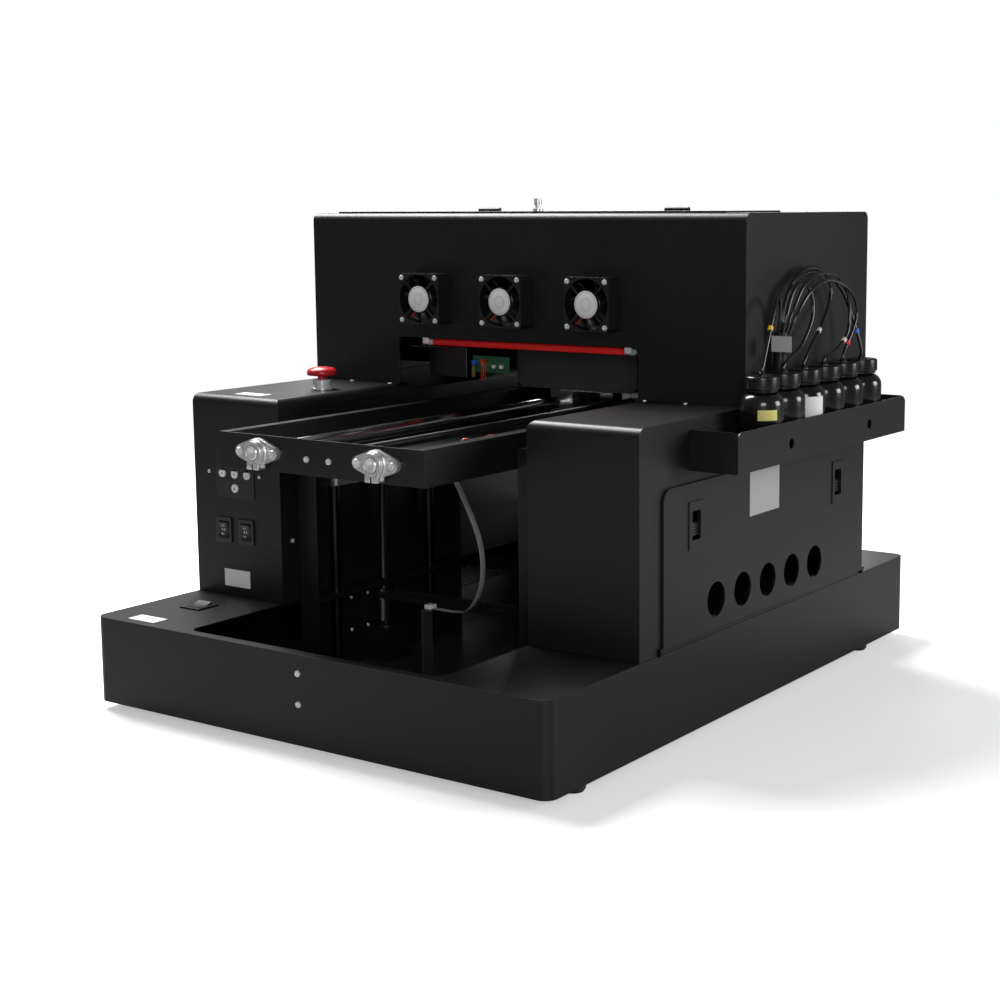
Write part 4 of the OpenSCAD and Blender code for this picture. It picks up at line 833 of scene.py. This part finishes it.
# each ring: tube number, height above the shelf, colour
rings = {"yellow": (0, 137, "ringYellow"), "white": (2, 126, "ringWhite"), "whiteLow": (3, 112, "ringWhite"),
         "red": (4, 109, "ringRed"), "blue": (5, 121, "ringBlue")}
ringProfile = [(2.0, -2.6), (2.75, -2.5), (2.9, -2.2), (2.9, 2.2), (2.75, 2.5), (2.0, 2.6)]
for name, (number, height, coatName) in rings.items():
    path = tubePaths[number]
    level = shelfCorner.z + height
    k = next(k for k in range(len(path) // 2, len(path) - 1) if (path[k].z - level) * (path[k + 1].z - level) <= 0)
    ring = bmesh.new()
    aim = (path[k + 1] - path[k]).to_track_quat("Z", "Y").to_matrix().to_4x4()
    made = addLathe(ring, ringProfile, Vector((0, 0, 0)), "Z", 20)
    bmesh.ops.transform(ring, matrix=Matrix.Translation(place(*path[k])) @ aim, verts=made)
    makePiece("tube_ring_" + name, outward(ring), "machine", coatName)
tag = bmesh.new()
addBlock(tag, (626, 394.8, 395), (650, 395.2, 412), 0.15, 1)
makePiece("tube_tag", tag, "machine", "labelGrey")

# ribbon cable under the tray
ribbon = {"y": 230, "width": 9, "thick": 1.2, "clip": 104.6, "tray": 281,
          "route": [(318, 280.6), (318.5, 265), (341, 226), (357, 191), (362, 159), (356, 130), (340, 109),
                    (320, 105), (294, 104.9), (286, 104.9)]}
ribbonPath = smoothPath([(x, ribbon["y"], z) for x, z in ribbon["route"]], 6)
strip, ringsMade = bmesh.new(), []
for k, point in enumerate(ribbonPath):
    heading = ribbonPath[min(k + 1, len(ribbonPath) - 1)] - ribbonPath[max(k - 1, 0)]
    turn = math.atan2(heading.x, heading.z)
    across = Matrix.Diagonal((ribbon["thick"] / 2000, ribbon["width"] / 2000, 1, 1))
    matrix = Matrix.Translation(place(*point)) @ Matrix.Rotation(turn, 4, "Y") @ across
    ring = bmesh.ops.create_circle(strip, cap_ends=k in (0, len(ribbonPath) - 1), radius=1, segments=14,
                                   matrix=matrix)["verts"]
    ringsMade.append(list({e for v in ring for e in v.link_edges}))
for one, two in zip(ringsMade, ringsMade[1:]):
    bmesh.ops.bridge_loops(strip, edges=one + two)
ribbonPiece = makePiece("ribbon_strip", outward(strip), None, "braidedRibbon", ("ribbon_cable",), 60)
place(318, 230, ribbon["clip"])
place(318, 230, ribbon["tray"])
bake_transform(ribbonPiece)
place(*ribbonPath[0])
pathLength(ribbonPath) / 1000
[place(*p) for p in ribbonPath]
plug = bmesh.new()
addBlock(plug, (282, 225, 104), (292, 235, 109), 0.6)
makePiece("ribbon_plug", plug, "machine", "whitePlastic")
print("stage: ink and cables")

# what shows under the hood and in the tray; holes are (x, height, radius), standoffs are (x, y)
sensor = {"holes": ((191.7, 381, 1.6), (188, 364, 1.8), (156, 356, 1.8), (166.5, 355, 1.6), (200, 350, 1.2)),
          "socketX": (246, 257), "spacerAt": (217, 404, 346),
          "spacer": [(0, 0), (2, 0), (2.3, 0.4), (2.3, 12), (1.4, 12), (1.4, 16), (0, 16)],
          "leadCoats": ("wireRed", "wireOrange", "wireRed"), "leadPitch": 3, "leadRadius": 0.7}
trayParts = {"leads": ((355, 200), (360, 238), (352, 330)), "leadCoats": ("wireOrange", "wireRed", "wireOrange"),
             "leadRadius": 0.8, "standoffs": ((352, 180), (362, 262), (356, 300), (350, 372)), "floor": 283,
             "standoff": [(0, 0), (1.6, 0), (1.6, 13), (0, 13)], "screwHeight": 296}
plateMesh = bmesh.new()
addBlock(plateMesh, (150, 403.4, 345), (207, 404.6, 383), 0.3, 1)
addBlock(plateMesh, (150, 366, 383), (207, 404.6, 384.2), 0.3, 1)
makePiece("sensor_plate", plateMesh, "machine", "darkAlloy")
# the plate's holes are thin black discs: painted shade for the dark seen through them
plateHoleShade = bmesh.new()
for x, z, r in sensor["holes"]:
    addLathe(plateHoleShade, [(0, 0.06), (r, 0.06), (r, 0), (0, 0)], (x, 403.4, z), "-Y", 20)
makePiece("sensor_plate_hole_shade", outward(plateHoleShade), "machine", "wireBlack")
board = bmesh.new()
addBlock(board, (214, 407, 352), (268, 408.6, 372), 0.2, 1)
makePiece("sensor_board", board, "machine", "circuitBoard")
socket = bmesh.new()
addBlock(socket, (216, 401, 361), (222, 407, 367), 0.5)
makePiece("blue_socket", socket, "machine", "bluePlastic")
whites = bmesh.new()
for x in sensor["socketX"]:
    addBlock(whites, (x, 402, 358), (x + 2.5, 407, 362), 0.3)
makePiece("white_sockets", whites, "machine", "whitePlastic")
spacer = bmesh.new()
addLathe(spacer, sensor["spacer"], sensor["spacerAt"], "Z", 6)
makePiece("brass_spacer", outward(spacer), "machine", "brass", sharp=20)
for k, coatName in enumerate(sensor["leadCoats"]):
    x = sensor["leadPitch"] * k
    addTube("boardLead_%d" % (k + 1), [(230 + x, 406, 366), (231 + x, 399, 368), (235 + x, 397, 360),
                                       (232 + x, 400, 350), (226 + x, 405, 343)],
            sensor["leadRadius"], "machine", coatName, 3)
for k, (x, y) in enumerate(trayParts["leads"]):
    addTube("trayLead_%d" % (k + 1), [(x, y, 284), (x - 3, y + 4, 296), (x - 1, y + 12, 303), (x + 4, y + 18, 297),
                                      (x + 5, y + 20, 285)],
            trayParts["leadRadius"], "bed", trayParts["leadCoats"][k], 3)
tray = bmesh.new()
for x, y in trayParts["standoffs"]:
    addScrew(tray, x, y, trayParts["screwHeight"], "Z", 2.2, 1.2)
    addLathe(tray, trayParts["standoff"], (x, y, trayParts["floor"]), "Z", 12)
makePiece("tray_standoffs", outward(tray), "bed", "zincSteel")
print("stage: details")
